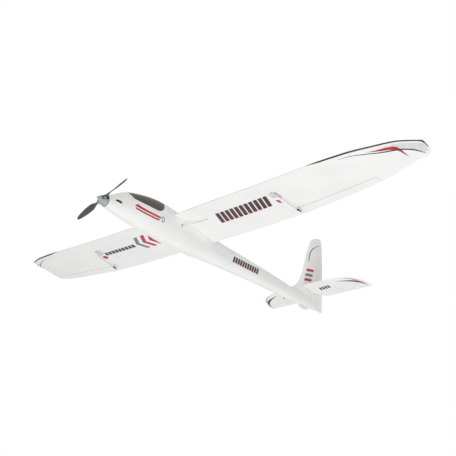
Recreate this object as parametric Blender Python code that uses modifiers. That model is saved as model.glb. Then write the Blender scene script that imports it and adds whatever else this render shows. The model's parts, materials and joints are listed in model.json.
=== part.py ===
"""RC glider: a foam airframe with a folding propeller drive and working control surfaces.

Sizes are in millimetres on the drawing axes: x to port, y aft from the spinner tip, z up
from the thrust line.  place() turns them into metres in the model frame, whose origin is on
the ground under the middle of the glider, with +X to port, -Y at the nose and +Z up.
"""
import math

import bmesh
import bpy
import numpy as np
from mathutils import Matrix, Vector

MM = 0.001
GAP = 0.3                    # clearance between touching pieces
LENGTH = 1106.0              # spinner tip to rudder trailing edge
THRUST_HEIGHT = 44.5         # thrust line above the ground
PORT, STARBOARD = 1, -1
SIDES = (("port", PORT), ("starboard", STARBOARD))

# Fuselage, at stations along y
NOSE_Y = 38.0
TAIL_Y = 1080.0
WALL = 5.0
TOP_LINE = ((38, 19.5), (60, 33), (100, 56), (130, 66.5), (160, 73.5), (200, 80.5), (240, 83.5), (280, 82),
            (320, 77.5), (360, 72), (450, 59.5), (550, 46.5), (700, 36), (850, 23), (930, 15), (1080, 12))
BOTTOM_LINE = ((38, -19.5), (60, -24.5), (100, -29), (150, -34), (200, -38.5), (250, -42), (300, -44.5),
               (400, -44.5), (450, -42), (550, -38), (750, -33.6), (950, -33.6), (1080, -30))
WIDTH_LINE = ((38, 19.5), (60, 25), (100, 31), (150, 35.5), (220, 38), (280, 37), (360, 33), (450, 29.5),
              (560, 26), (700, 22), (900, 16), (1000, 10), (1080, 3.2))
CREASE_LINE = ((38, 0), (100, 3), (270, 8), (560, -10), (900, -14), (1080, -12))
BELLY_LINE = ((38, 2), (240, 4), (300, 9), (400, 9), (500, 4), (1080, 1))
HULL_STATIONS = (38, 48, 62, 80, 100, 125, 155, 190, 230, 265, 300, 315, 335, 365, 400, 435, 465, 490, 515,
                 560, 640, 740, 840, 910, 960, 1010, 1050, 1080)
CAVITY_STATIONS = (30, 62, 90, 125, 160, 200, 240, 300, 350, 400, 470, 560, 700, 850, 950, 1010)
BELOW_CREASE, ABOVE_CREASE = 6, 10
FLARE = 11.0                 # how far the wing seat swells out of the side
FLARE_LINE = ((300, 0), (335, 1), (430, 1), (485, 0))

# Wing: leading and trailing edge, and their heights, at stations along x
LEADING_Y = ((0, 301), (250, 290), (450, 290), (600, 297), (720, 312), (800, 341), (850, 383), (885, 430),
             (900, 456))
TRAILING_Y = ((0, 492), (250, 492), (450, 488), (720, 484), (800, 481), (850, 490), (885, 504), (894, 499),
              (900, 474))
LEADING_Z = ((0, 49), (250, 48), (450, 51), (600, 61), (720, 71), (800, 83), (850, 103), (885, 117),
             (900, 124))
TRAILING_Z = ((0, 24), (250, 24), (450, 27), (600, 38), (720, 49), (800, 63), (850, 87), (885, 103),
              (900, 119))
WING_STATIONS = (22.5, 130, 250, 350, 440, 520, 600, 670, 735, 780, 815, 845, 868, 885, 894, 900)
WING_THICKNESS = 0.095
WING_CAMBER = 0.03
WING_SIDE_POINTS = 11
TRAILING_EDGE = 1.4          # thickness of the foam trailing edge
SEAT_X = 18.0                # inner end of the slot that takes the wing root
JOINER_Y, JOINER_Z, JOINER_RADIUS, JOINER_HALF = 335.0, 48.0, 4.0, 330.0

# Ailerons, hinged along the upper skin
AILERON_IN, AILERON_OUT = 437.0, 733.0
AILERON_HINGE_Y = (450.0, 454.0)
AILERON_DOWN = math.radians(15)
CONTROL_REACH = 70.0         # longer than any control surface is wide

# Tail
FIN_LEADING = ((-40, 930), (14, 927), (32, 949), (54, 966), (94, 984), (134, 992), (209, 1010), (238, 1022),
               (254, 1045), (261, 1062))
FIN_TRAILING = ((-40, 1107), (-22, 1106), (45, 1104), (104, 1099), (250, 1082), (261, 1076))
FIN_STATIONS = (-29, 0, 14, 24, 38, 56, 90, 140, 200, 232, 247, 255, 261)
FIN_THICKNESS = ((-40, 11), (60, 11), (261, 6))
RUDDER_HINGE_Y, RUDDER_HINGE_Z, RUDDER_RAKE = 1076.0, -29.0, -0.10
RUDDER_BEVEL = math.radians(30)
STAB_HALF = 244.0
STAB_LEADING = ((0, 986), (100, 988), (150, 994), (194, 1008), (218, 1030), (236, 1062), (244, 1090))
STAB_TRAILING = ((0, 1098), (215, 1098), (238, 1099), (244, 1096))
STAB_Z, STAB_Z_AT, STAB_SLOPE = 40.0, 1020.0, -0.10
STAB_STATIONS = (0, 60, 120, 165, 198, 220, 234, 241, 244)
STAB_THICKNESS = 8.4
ELEVATOR_HINGE_Y = 1063.0
ELEVATOR_IN, ELEVATOR_OUT = 9.0, 222.0
ELEVATOR_BEVEL = math.radians(25)

# Canopy
CANOPY_SIDE = ((97, 62), (103, 46), (118, 34), (140, 29), (270, 29), (276, 34), (281, 90))
CANOPY_TOP = 120.0

# Drive
HUB_Y = 22.0
SPINNER_LENGTH, SPINNER_RADIUS = 36.0, 19.5
BLADE_ANGLE = math.radians(19)
BLADE_TIP = 120.0
PIN_X = 16.0
MOTOR_Y = 42.0

# Equipment in the fuselage
TRAY_Z = -14.0
TRAY_FROM, TRAY_TO = 84.0, 345.0
ROD_RADIUS = 0.8
LEAD_Y, LEAD_RADIUS = 364.0, 1.1

parts = bpy.data.collections.new("rc_glider")
cutters = bpy.data.collections.new("cutters")


# ---------------------------------------------------------------- helpers

def place(x, y, z):
    """Drawing millimetres to model metres."""
    return Vector((x * MM, (y - LENGTH / 2) * MM, (z + THRUST_HEIGHT) * MM))


def smooth_line(knots):
    """A function that runs smoothly through the (t, value) knots without overshooting."""
    t = np.array([knot[0] for knot in knots], dtype=float)
    v = np.array([knot[1] for knot in knots], dtype=float)
    slope = np.diff(v) / np.diff(t)
    tangent = np.zeros(len(v))
    tangent[0], tangent[-1] = slope[0], slope[-1]
    for i in range(1, len(v) - 1):
        before, after = slope[i - 1], slope[i]
        if before * after > 0:
            tangent[i] = 2 * before * after / (before + after)

    def value(at):
        at = min(max(at, t[0]), t[-1])
        i = min(int(np.searchsorted(t, at, side="right")) - 1, len(t) - 2)
        width = t[i + 1] - t[i]
        s = (at - t[i]) / width
        return float((1 + 2 * s) * (1 - s) ** 2 * v[i] + s * (1 - s) ** 2 * width * tangent[i]
                     + s * s * (3 - 2 * s) * v[i + 1] + s * s * (s - 1) * width * tangent[i + 1])

    return value


top_at, bottom_at, width_at = smooth_line(TOP_LINE), smooth_line(BOTTOM_LINE), smooth_line(WIDTH_LINE)
crease_at, belly_at, flare_at = smooth_line(CREASE_LINE), smooth_line(BELLY_LINE), smooth_line(FLARE_LINE)
wing_lead, wing_trail = smooth_line(LEADING_Y), smooth_line(TRAILING_Y)
wing_lead_z, wing_trail_z = smooth_line(LEADING_Z), smooth_line(TRAILING_Z)
fin_lead, fin_trail = smooth_line(FIN_LEADING), smooth_line(FIN_TRAILING)
fin_thick = smooth_line(FIN_THICKNESS)
stab_lead, stab_trail = smooth_line(STAB_LEADING), smooth_line(STAB_TRAILING)


def material(name, colour, roughness, metallic=0.0):
    finish = bpy.data.materials.new(name)
    finish.use_nodes = True
    shader = finish.node_tree.nodes["Principled BSDF"]
    shader.inputs["Base Color"].default_value = (*colour, 1.0)
    shader.inputs["Roughness"].default_value = roughness
    shader.inputs["Metallic"].default_value = metallic
    return finish


FOAM = material("white_foam", (0.86, 0.86, 0.87), 0.62)
GREY_PLASTIC = material("grey_plastic", (0.34, 0.35, 0.37), 0.42)
BLACK_PLASTIC = material("black_plastic", (0.03, 0.03, 0.03), 0.45)
WHITE_PLASTIC = material("white_plastic", (0.80, 0.80, 0.79), 0.40)
CARBON = material("carbon_tube", (0.04, 0.04, 0.045), 0.32)
STEEL = material("steel_wire", (0.55, 0.55, 0.56), 0.28, 1.0)
ALUMINIUM = material("aluminium", (0.72, 0.73, 0.75), 0.30, 1.0)
COPPER = material("copper_winding", (0.62, 0.32, 0.16), 0.40, 1.0)
BLUE_FILM = material("blue_film", (0.05, 0.12, 0.36), 0.35)
LEAD_PVC = material("lead_pvc", (0.72, 0.66, 0.52), 0.50)
STRAP_WEAVE = material("strap_weave", (0.05, 0.05, 0.06), 0.85)
PLYWOOD = material("plywood", (0.58, 0.42, 0.24), 0.70)


def add_object(name, mesh, finish=None, group=parts):
    piece = bpy.data.objects.new(name, mesh)
    group.objects.link(piece)
    if finish is not None:
        mesh.materials.append(finish)
    if group is cutters:
        piece.hide_render = True
        piece.display_type = "WIRE"
    return piece


def finish_mesh(name, bm, finish=None, group=parts, sharp=40.0):
    """Turn a bmesh into an object with faces out and round stretches shaded smooth."""
    bmesh.ops.recalc_face_normals(bm, faces=bm.faces)
    mesh = bpy.data.meshes.new(name)
    bm.to_mesh(mesh)
    bm.free()
    mesh.shade_smooth()
    mesh.set_sharp_from_angle(angle=math.radians(sharp))
    return add_object(name, mesh, finish, group)


def loft(name, rings, finish=None, group=parts):
    """A closed body through rings of equal point counts, capped at both ends."""
    bm = bmesh.new()
    loops = [[bm.verts.new(place(*point)) for point in ring] for ring in rings]
    count = len(loops[0])
    for here, there in zip(loops, loops[1:]):
        for i in range(count):
            j = (i + 1) % count
            bm.faces.new((here[i], here[j], there[j], there[i]))
    bm.faces.new(loops[0])
    bm.faces.new(reversed(loops[-1]))
    return finish_mesh(name, bm, finish, group)


def box(name, low, high, finish=None, group=parts):
    bm = bmesh.new()
    middle = place(*[(a + b) / 2 for a, b in zip(low, high)])
    size = [(b - a) * MM for a, b in zip(low, high)]
    bmesh.ops.create_cube(bm, size=1.0, matrix=Matrix.Translation(middle) @ Matrix.Diagonal((*size, 1.0)))
    return finish_mesh(name, bm, finish, group)


def rod(name, start, end, radius, finish=None, group=parts, sides=16):
    """A cylinder from start to end, in drawing millimetres."""
    a, b = place(*start), place(*end)
    turn = (b - a).to_track_quat("Z", "Y").to_matrix().to_4x4()
    bm = bmesh.new()
    bmesh.ops.create_cone(bm, cap_ends=True, segments=sides, radius1=radius * MM,
                          radius2=radius * MM, depth=(b - a).length,
                          matrix=Matrix.Translation((a + b) / 2) @ turn)
    return finish_mesh(name, bm, finish, group)


def curve_to_mesh(name, curve, finish=None, group=parts, matrix=None):
    """Make a curve a welded mesh object, so that it can be cut or joined."""
    drawn = bpy.data.objects.new(name + "_curve", curve)
    bpy.context.scene.collection.objects.link(drawn)
    if matrix is not None:
        drawn.matrix_world = matrix
    bpy.context.view_layer.update()
    depsgraph = bpy.context.evaluated_depsgraph_get()
    mesh = bpy.data.meshes.new_from_object(drawn.evaluated_get(depsgraph))
    place_of_curve = drawn.matrix_world.copy()
    bpy.data.objects.remove(drawn)
    bm = bmesh.new()
    bm.from_mesh(mesh)
    bmesh.ops.remove_doubles(bm, verts=bm.verts, dist=1e-6)
    bpy.data.meshes.remove(mesh)
    piece = finish_mesh(name, bm, finish, group)
    piece.matrix_world = place_of_curve
    return piece


def plate(name, outline, thickness, matrix, finish=None, group=parts):
    """A flat outline in local x and y, given its thickness along local z."""
    curve = bpy.data.curves.new(name, "CURVE")
    curve.dimensions = "2D"
    curve.fill_mode = "BOTH"
    curve.extrude = thickness * MM / 2
    line = curve.splines.new("POLY")
    line.points.add(len(outline) - 1)
    for point, (x, y) in zip(line.points, outline):
        point.co = (x * MM, y * MM, 0.0, 1.0)
    line.use_cyclic_u = True
    return curve_to_mesh(name, curve, finish, group, matrix)


def tube(name, points, radius, finish=None, group=parts, resolution=2):
    """A round wire or lead along a smooth line of points, with closed ends."""
    curve = bpy.data.curves.new(name, "CURVE")
    curve.dimensions = "3D"
    curve.bevel_depth = radius * MM
    curve.bevel_resolution = resolution
    curve.use_fill_caps = True
    line = curve.splines.new("POLY")
    line.points.add(len(points) - 1)
    for knot, point in zip(line.points, points):
        knot.co = (*place(*point), 1.0)
    return curve_to_mesh(name, curve, finish, group)


def smooth_path(route, count):
    """Points along a Catmull-Rom line through the route."""
    knots = [Vector(point) for point in route]
    knots = [2 * knots[0] - knots[1], *knots, 2 * knots[-1] - knots[-2]]
    spans = len(route) - 1
    path = []
    for step in range(count + 1):
        along = min(step * spans / count, spans - 1e-9)
        i = int(along)
        s = along - i
        a, b, c, d = knots[i:i + 4]
        path.append(0.5 * (2 * b + (c - a) * s + (2 * a - 5 * b + 4 * c - d) * s * s
                           + (3 * b - a - 3 * c + d) * s ** 3))
    return path


def combine(piece, operation, *others):
    for other in others:
        step = piece.modifiers.new(operation.lower() + "_" + other.name, "BOOLEAN")
        step.operation = operation
        step.solver = "EXACT"
        step.object = other
    return piece


def cut(piece, *others):
    return combine(piece, "DIFFERENCE", *others)


def join(piece, *others):
    return combine(piece, "UNION", *others)


def set_origin(piece, pivot):
    """Move the piece's origin to the pivot, in drawing millimetres, without moving the piece."""
    spot = place(*pivot)
    shift = piece.matrix_world.inverted() @ spot
    piece.data.transform(Matrix.Translation(-shift))
    piece.matrix_world.translation = spot
    return piece


def arc(centre, radius, start, end, steps):
    """Points on an arc, with its angles in degrees."""
    angles = [math.radians(start + (end - start) * i / steps) for i in range(steps + 1)]
    return [(centre[0] + radius * math.cos(a), centre[1] + radius * math.sin(a)) for a in angles]


def frame_at(origin, x_axis, y_axis):
    """A matrix whose local x and y lie along the given directions, at a drawing point."""
    x = Vector(x_axis).normalized()
    z = x.cross(Vector(y_axis)).normalized()
    turn = Matrix((x, z.cross(x), z)).transposed().to_4x4()
    return Matrix.Translation(place(*origin)) @ turn


# ---------------------------------------------------------------- sections

def airfoil(points, thickness, camber):
    """Upper line from the trailing edge to the nose, then the lower line back, in chord units."""
    crest = 0.4
    upper, lower = [], []
    for i in range(points + 1):
        s = 0.5 * (1 - math.cos(math.pi * i / points))
        half = 5 * thickness * (0.2969 * math.sqrt(s) - 0.1260 * s - 0.3516 * s ** 2 + 0.2843 * s ** 3
                                - 0.1036 * s ** 4)
        if s < crest:
            mean = camber / crest ** 2 * (2 * crest * s - s * s)
        else:
            mean = camber / (1 - crest) ** 2 * ((1 - 2 * crest) + 2 * crest * s - s * s)
        upper.append((s, mean + half))
        lower.append((s, mean - half))
    return upper[::-1] + lower[1:]


def section_ring(lead, trail, across, thickness, camber=0.0, points=WING_SIDE_POINTS, grow=0.0):
    """A blunt-tailed section between two points; across is the direction of its thickness."""
    lead, trail, across = Vector(lead), Vector(trail), Vector(across)
    chord = (trail - lead).length
    along = (trail - lead) / chord
    ring = []
    for i, (s, up) in enumerate(airfoil(points, thickness / chord, camber)):
        edge = TRAILING_EDGE / 2 * s * (1 if i <= points else -1)
        side = 1 if i <= points else -1
        stretch = grow * (2 * s - 1)
        ring.append(lead + along * (s * chord + stretch) + across * (up * chord + edge + grow * side))
    return ring


def wing_ring(x, side=PORT, grow=0.0):
    lead = (x * side, wing_lead(x), wing_lead_z(x))
    trail = (x * side, wing_trail(x), wing_trail_z(x))
    chord = wing_trail(x) - wing_lead(x)
    return section_ring(lead, trail, (0, 0, 1), WING_THICKNESS * chord, WING_CAMBER, grow=grow)


def wing_under(x, y):
    """Height of the wing's lower surface."""
    ring = wing_ring(x)[WING_SIDE_POINTS:]
    return float(np.interp(y, [p.y for p in ring], [p.z for p in ring]))


def wing_over(x, y):
    """Height of the wing's upper surface."""
    ring = wing_ring(x)[:WING_SIDE_POINTS + 1][::-1]
    return float(np.interp(y, [p.y for p in ring], [p.z for p in ring]))


def seat_flare(y, z):
    """How far the fuselage side swells out under the wing root at this height."""
    size = FLARE * max(flare_at(y), 0.0)
    if size <= 0:
        return 0.0
    seat = wing_under(40.0, y) + 1.5
    low = crease_at(y)
    if z <= low:
        return 0.0
    if z <= seat:
        return size * ((z - low) / (seat - low)) ** 2.2
    return size * max(0.0, 1 - (z - seat) / 5.0)


def hull_ring(y, side=PORT, inset=0.0, lower=BELOW_CREASE, upper=ABOVE_CREASE):
    """Half of the fuselage section, closed along the middle: belly, side, crease, top."""
    top, bottom = top_at(y) - inset, bottom_at(y) + inset
    width, crease = width_at(y) - inset, crease_at(y)
    flat = min(belly_at(y), width * 0.5)
    ring = [(GAP / 2, bottom)]
    for i in range(lower):
        turn = math.pi / 2 * i / lower
        ring.append((flat + (width - flat) * math.sin(turn), crease + (bottom - crease) * math.cos(turn)))
    for i in range(upper):
        rise = i / upper * (2 - i / upper)
        lean = 0.06 * (top - crease) * rise
        wide = width * (1 - rise ** 2.5) ** (1 / 2.3) - lean * (1 - rise)
        z = crease + (top - crease) * rise
        flare = 0.0 if inset else seat_flare(y, z)
        ring.append((max(wide, GAP) + flare, z))
    ring.append((GAP / 2, top))
    return [(x * side, y, z) for x, z in ring]


def inner_width(y, z):
    """Half-width of the cavity at a height below the top."""
    ring = hull_ring(y, inset=WALL)[1:-1]
    return float(np.interp(z, [p[2] for p in ring], [p[0] for p in ring]))


# ---------------------------------------------------------------- cutters

def prism_along_x(name, outline, x_from, x_to, shift=(0.0, 0.0)):
    """An outline of (y, z) points carried from one x to another, shifted by (dy, dz) on the way."""
    near = [(x_from, y, z) for y, z in outline]
    far = [(x_to, y + shift[0], z + shift[1]) for y, z in outline]
    return loft(name, (near, far), group=cutters)


def prism_along_z(name, outline, z_from, z_to, rake=0.0):
    """An outline of (x, y) points carried upward, moving along y by rake for each unit of height."""
    low = [(x, y, z_from) for x, y in outline]
    high = [(x, y + rake * (z_to - z_from), z_to) for x, y in outline]
    return loft(name, (low, high), group=cutters)


def canopy_outline(gap):
    """Side view of the canopy, grown by the gap along its lower edge."""
    front_corners, rear_from = 3, 5
    line = []
    for i, (y, z) in enumerate(CANOPY_SIDE):
        along = -gap if i < front_corners else gap if i >= rear_from else 0
        line.append((y + along, z - gap))
    return line + [(CANOPY_SIDE[-1][0] + gap, CANOPY_TOP), (CANOPY_SIDE[0][0] - gap, CANOPY_TOP)]


def aileron_hinge(end):
    """A point on the aileron's hinge line, on the wing's upper skin."""
    x = (AILERON_IN, AILERON_OUT)[end]
    y = AILERON_HINGE_Y[end]
    return x, y, wing_over(x, y)


def rudder_hinge_y(z):
    return RUDDER_HINGE_Y + RUDDER_RAKE * (z - RUDDER_HINGE_Z)


def stab_z(y):
    return STAB_Z + STAB_SLOPE * (y - STAB_Z_AT)


# ---------------------------------------------------------------- airframe

def stab_ring(x, grow=0.0):
    chord = stab_trail(abs(x)) - stab_lead(abs(x))
    thickness = min(STAB_THICKNESS, 0.10 * chord + 1.0)
    lead = (x, stab_lead(abs(x)), stab_z(stab_lead(abs(x))))
    trail = (x, stab_trail(abs(x)), stab_z(stab_trail(abs(x))))
    return section_ring(lead, trail, (0, 0, 1), thickness, points=8, grow=grow)


def fin_ring(z):
    return section_ring((0, fin_lead(z), z), (0, fin_trail(z), z), (1, 0, 0), fin_thick(z), points=8)


def half_fin(name, side):
    """One half of the fin, cut along the middle like the fuselage shells."""
    rings = []
    for z in FIN_STATIONS[1:]:
        whole = fin_ring(z)
        skin = whole[:9] if side == PORT else whole[8:]
        ring = [(max(abs(p.x), GAP / 2) * side, p.y, p.z) for p in skin]
        rings.append([(GAP / 2 * side, ring[0][1], z), *ring[1:-1], (GAP / 2 * side, ring[-1][1], z)])
    return loft(name, rings, group=cutters)


def make_airframe_cutters():
    """The spaces that the other pieces take out of the foam."""
    tools = {}
    reach = CONTROL_REACH
    low, high = FIN_STATIONS[0] - 20, FIN_STATIONS[-1] + 10
    behind = rudder_hinge_y(low)
    tools["rudder"] = prism_along_z("rudder_space", [(-40, behind), (40, behind), (40, behind + 2 * reach),
                                                     (-40, behind + 2 * reach)], low, high, RUDDER_RAKE)
    seat = [(p.y, p.z) for p in stab_ring(0, grow=0.9)]
    tools["stab"] = prism_along_x("tailplane_slot", seat, -40, 40)
    hinge_z = stab_z(ELEVATOR_HINGE_Y)
    tools["joiner"] = box("elevator_joiner_slot", (-30, 1050, hinge_z - 4.2), (30, 1100, hinge_z + 4.2),
                          group=cutters)
    tools["canopy"] = prism_along_x("canopy_space", canopy_outline(0.5), -80, 80)
    for label, side in SIDES:
        rings = [wing_ring(x, side, grow=0.4) for x in (SEAT_X, 100)]
        tools["wing_" + label] = loft("wing_seat_" + label, rings, group=cutters)
        rings = [hull_ring(y, side, WALL, 5, 8) for y in CAVITY_STATIONS]
        rings = [[(p[0] if abs(p[0]) > 1 else -2 * side, p[1], p[2]) for p in ring] for ring in rings]
        tools["cavity_" + label] = loft("cavity_" + label, rings, group=cutters)
        tools["lead_" + label] = rod("lead_hole_" + label, (15 * side, 335, 24), (60 * side, 335, 24), 3.0,
                                     group=cutters, sides=10)
        inlet = [(56, 0), (76, 2), (78, 5), (77, 9), (60, 6)]
        tools["inlet_" + label] = prism_along_x("inlet_cut_" + label, inlet, 12 * side, 60 * side)
    return tools


def make_fuselage(tools):
    for label, side in SIDES:
        shell = loft("fuselage_shell_" + label, [hull_ring(y, side) for y in HULL_STATIONS], FOAM)
        join(shell, half_fin("fin_half_" + label, side))
        cut(shell, tools["cavity_" + label], tools["canopy"], tools["rudder"], tools["stab"], tools["joiner"],
            tools["wing_" + label], tools["lead_" + label], tools["inlet_" + label])
        if side == STARBOARD:
            cut(shell, *(tools["rod_" + control] for control in ("elevator", "rudder")))


def make_canopy():
    rings = [[*hull_ring(y), *hull_ring(y, STARBOARD)[::-1]] for y in HULL_STATIONS[:12]]
    whole = [[point for point in ring if abs(point[0]) > GAP] for ring in rings]
    canopy = loft("canopy", whole, FOAM)
    inner = [[*hull_ring(y, PORT, WALL, 5, 8), *hull_ring(y, STARBOARD, WALL, 5, 8)[::-1]]
             for y in CAVITY_STATIONS[:9]]
    hollow = loft("canopy_hollow", [[p for p in ring if abs(p[0]) > GAP] for ring in inner], group=cutters)
    region = prism_along_x("canopy_region", canopy_outline(0.0), -70, 70)
    combine(canopy, "INTERSECT", region)
    cut(canopy, hollow)
    set_origin(canopy, (0, 190, 29))


def make_canopy_locks():
    """A spigot under each side of the canopy drops into a clip on the fuselage wall."""
    for label, side in SIDES:
        x = inner_width(255, 22) - 3 * GAP
        clip = box("canopy_clip_" + label, (side * (x - 6), 248, 10), (side * x, 262, 22), BLACK_PLASTIC)
        slot = box("clip_slot_" + label, (side * (x - 4.4), 250.5, 5), (side * (x - 1.6), 259.5, 30),
                   group=cutters)
        cut(clip, slot)
        spigot = box("canopy_spigot_" + label, (side * (x - 4), 251, 12), (side * (x - 2), 259, 37),
                     BLACK_PLASTIC)
        set_origin(spigot, (0, 190, 29))


def make_tail_skid():
    """A small runner under the tail, which shares the glider's weight with the belly."""
    front, back = 972.0, 1030.0
    bottom = -THRUST_HEIGHT
    outline = [(front, bottom_at(front) - GAP), (back, bottom_at(back) - GAP)]
    outline += [(y, bottom + (y - 1008) ** 2 / 60) for y in (1020, 1014)]
    outline += [(1008, bottom), (992, bottom), (984, bottom + 1.2)]
    middle = (front + back) / 2
    local = [(y - middle, z - bottom) for y, z in outline]
    plate("tail_skid", local, 7.0, frame_at((0, middle, bottom), (0, 1, 0), (0, 0, 1)), WHITE_PLASTIC)


def servo_bay(label, side):
    """Pocket, arm slot, lead tunnel and lead outlet in the underside of one wing."""
    under = wing_under(417, 356)
    pocket = box("servo_pocket_" + label, (404 * side, 343.5, under - 8), (428.6 * side, 368.5, under + 13),
                 group=cutters)
    arm = box("arm_slot_" + label, (427 * side, 346, under - 8), (434.5 * side, 379, under + 13),
              group=cutters)
    lugs = box("lug_slot_" + label, (418.6 * side, 339, under - 8), (422.4 * side, 373.2, under + 13),
               group=cutters)
    tunnel = rod("lead_tunnel_" + label, (100 * side, LEAD_Y, lead_height(100)),
                 (410 * side, LEAD_Y, lead_height(410)), 1.8, group=cutters, sides=8)
    outlet = box("lead_outlet_" + label, (88 * side, LEAD_Y - 1.8, 20),
                 (124 * side, LEAD_Y + 1.8, lead_height(100) + 1), group=cutters)
    return pocket, arm, lugs, tunnel, outlet


def lead_height(x):
    """The lead runs straight through the wing, a little above its underside."""
    near, far = wing_under(100, LEAD_Y), wing_under(410, LEAD_Y)
    return near + (far - near) * (x - 100) / 310 + 6.0


def aileron_prism(name, label, side, aft, bevel, trim):
    """The space behind the aileron hinge, with its front face sloping aft below the hinge."""
    inner, outer = aileron_hinge(0), aileron_hinge(1)
    slope = (outer[2] - inner[2]) / (outer[0] - inner[0])
    sweep = (outer[1] - inner[1]) / (outer[0] - inner[0])
    x_from, x_to = inner[0] + trim, outer[0] - trim
    y, z = inner[1] + sweep * trim, inner[2] + slope * trim
    drop = 30.0
    outline = [(y + aft, z + drop), (y + aft, z), (y + aft + drop * math.tan(bevel), z - drop),
               (y + CONTROL_REACH, z - drop), (y + CONTROL_REACH, z + drop)]
    shift = (sweep * (x_to - x_from), slope * (x_to - x_from))
    return prism_along_x(name + label, outline, x_from * side, x_to * side, shift)


def make_wings():
    for label, side in SIDES:
        rings = [wing_ring(x, side) for x in WING_STATIONS]
        panel = loft("wing_panel_" + label, rings, FOAM)
        bore = rod("joiner_bore_" + label, (10 * side, JOINER_Y, JOINER_Z),
                   ((JOINER_HALF + 3) * side, JOINER_Y, JOINER_Z), JOINER_RADIUS + GAP, group=cutters,
                   sides=12)
        space = aileron_prism("aileron_space_", label, side, 0.0, 0.0, 0.0)
        cut(panel, bore, space, *servo_bay(label, side))
        aileron = loft("aileron_" + label, rings, FOAM)
        combine(aileron, "INTERSECT", aileron_prism("aileron_region_", label, side, GAP, AILERON_DOWN, 1.0))
        inner = aileron_hinge(0)
        set_origin(aileron, (inner[0] * side, *inner[1:]))
        rib = loft("wing_root_rib_" + label, [wing_ring(x, side, grow=-0.6) for x in (20.4, 22.2)],
                   BLACK_PLASTIC)
        cut(rib, bore)
    joiner = rod("wing_joiner", (-JOINER_HALF, JOINER_Y, JOINER_Z), (JOINER_HALF, JOINER_Y, JOINER_Z),
                 JOINER_RADIUS, CARBON, sides=12)
    hollow = rod("joiner_hollow", (-JOINER_HALF - 5, JOINER_Y, JOINER_Z),
                 (JOINER_HALF + 5, JOINER_Y, JOINER_Z), JOINER_RADIUS - 1, group=cutters, sides=12)
    cut(joiner, hollow)


def elevator_outline(front, bevel):
    y, z = ELEVATOR_HINGE_Y, stab_z(ELEVATOR_HINGE_Y)
    high = 12.0
    return [(y + front, z), (y + front + high * math.tan(bevel), z + high), (y + CONTROL_REACH, z + high),
            (y + CONTROL_REACH, z - high), (y + front + high * math.tan(bevel), z - high)]


def make_tailplane():
    stations = [-x for x in STAB_STATIONS[:0:-1]] + list(STAB_STATIONS)
    rings = [stab_ring(x) for x in stations]
    stab = loft("tailplane", rings, FOAM)
    reach = ELEVATOR_OUT + 1
    cut(stab, prism_along_x("elevator_space", elevator_outline(0.0, 0.0), -reach, reach))
    y = ELEVATOR_HINGE_Y
    clear = prism_along_z("rudder_swing", [(-9, y - 20), (9, y - 20), (9, y), (34, y + 36), (-34, y + 36),
                                           (-9, y)], -20, 100)
    joiner_y, joiner_z = y + 3.6, stab_z(y + 3.6)
    for label, side in SIDES:
        piece = loft("elevator_" + label, rings, FOAM)
        region = prism_along_x("elevator_region_" + label, elevator_outline(GAP, ELEVATOR_BEVEL),
                               2 * side, ELEVATOR_OUT * side)
        combine(piece, "INTERSECT", region)
        bore = rod("elevator_bore_" + label, (5 * side, joiner_y, joiner_z), (44 * side, joiner_y, joiner_z),
                   1.2 + GAP, group=cutters, sides=8)
        cut(piece, clear, bore)
        set_origin(piece, (0, y, stab_z(y)))
    joiner = rod("elevator_joiner", (-42, joiner_y, joiner_z), (42, joiner_y, joiner_z), 1.2, STEEL, sides=8)
    set_origin(joiner, (0, y, stab_z(y)))


def make_rudder():
    rings = [fin_ring(z) for z in FIN_STATIONS]
    rudder = loft("rudder", rings, FOAM)
    low, high = FIN_STATIONS[0] - 20, FIN_STATIONS[-1] + 10
    y, wide, reach = rudder_hinge_y(low), 12.0, CONTROL_REACH * 1.5
    back = y + GAP + wide * math.tan(RUDDER_BEVEL)
    outline = [(0, y + GAP), (wide, back), (wide, y + reach), (-wide, y + reach), (-wide, back)]
    region = prism_along_z("rudder_region", outline, low, high, RUDDER_RAKE)
    combine(rudder, "INTERSECT", region)
    set_origin(rudder, (0, rudder_hinge_y(0), 0))


# ---------------------------------------------------------------- drive

def turned(name, profile, finish, steps=32):
    """A closed (radius, y) profile turned round the shaft, from the nose back along +y."""
    bm = bmesh.new()
    corners = [bm.verts.new((radius * MM, 0.0, -along * MM)) for radius, along in profile]
    for a, b in zip(corners, corners[1:] + corners[:1]):
        bm.edges.new((a, b))
    mesh = bpy.data.meshes.new(name)
    bm.to_mesh(mesh)
    bm.free()
    piece = add_object(name, mesh, finish)
    spin = piece.modifiers.new("turn", "SCREW")
    spin.steps = steps
    spin.render_steps = steps
    spin.use_merge_vertices = True
    spin.merge_threshold = 0.00001
    spin.use_smooth_shade = True
    piece.matrix_world = Matrix.Translation(place(0, 0, 0)) @ Matrix.Rotation(math.radians(90), 4, "X")
    return piece


def make_spinner(hub):
    """A thin cone with a slot on each side for the folding blades."""
    steps, wall = 6, 1.4
    outer = []
    for i in range(steps + 1):
        along = SPINNER_LENGTH * (i / steps) ** 1.3
        outer.append((SPINNER_RADIUS * (1 - (1 - along / SPINNER_LENGTH) ** 1.45), along))
    outer[0] = (0.0, 0.0)
    inner = [(radius - wall, along) for radius, along in outer[::-1] if radius > 2.5 * wall]
    spinner = turned("spinner", outer + inner + [(0.0, inner[-1][1] - 1.5)], GREY_PLASTIC, 28)
    slot = box("blade_slot", (-40, 13.5, -7.2), (40, 45, 7.2), group=cutters)
    slot.parent = hub
    slot.matrix_parent_inverse = Matrix.Translation(-place(0, HUB_Y, 0))
    cut(spinner, slot)


def on_hub(piece, hub):
    """Carry a piece built with the blades level round to the hub's angle."""
    piece.parent = hub
    piece.matrix_parent_inverse = Matrix.Translation(-place(0, HUB_Y, 0))
    return piece


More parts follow.
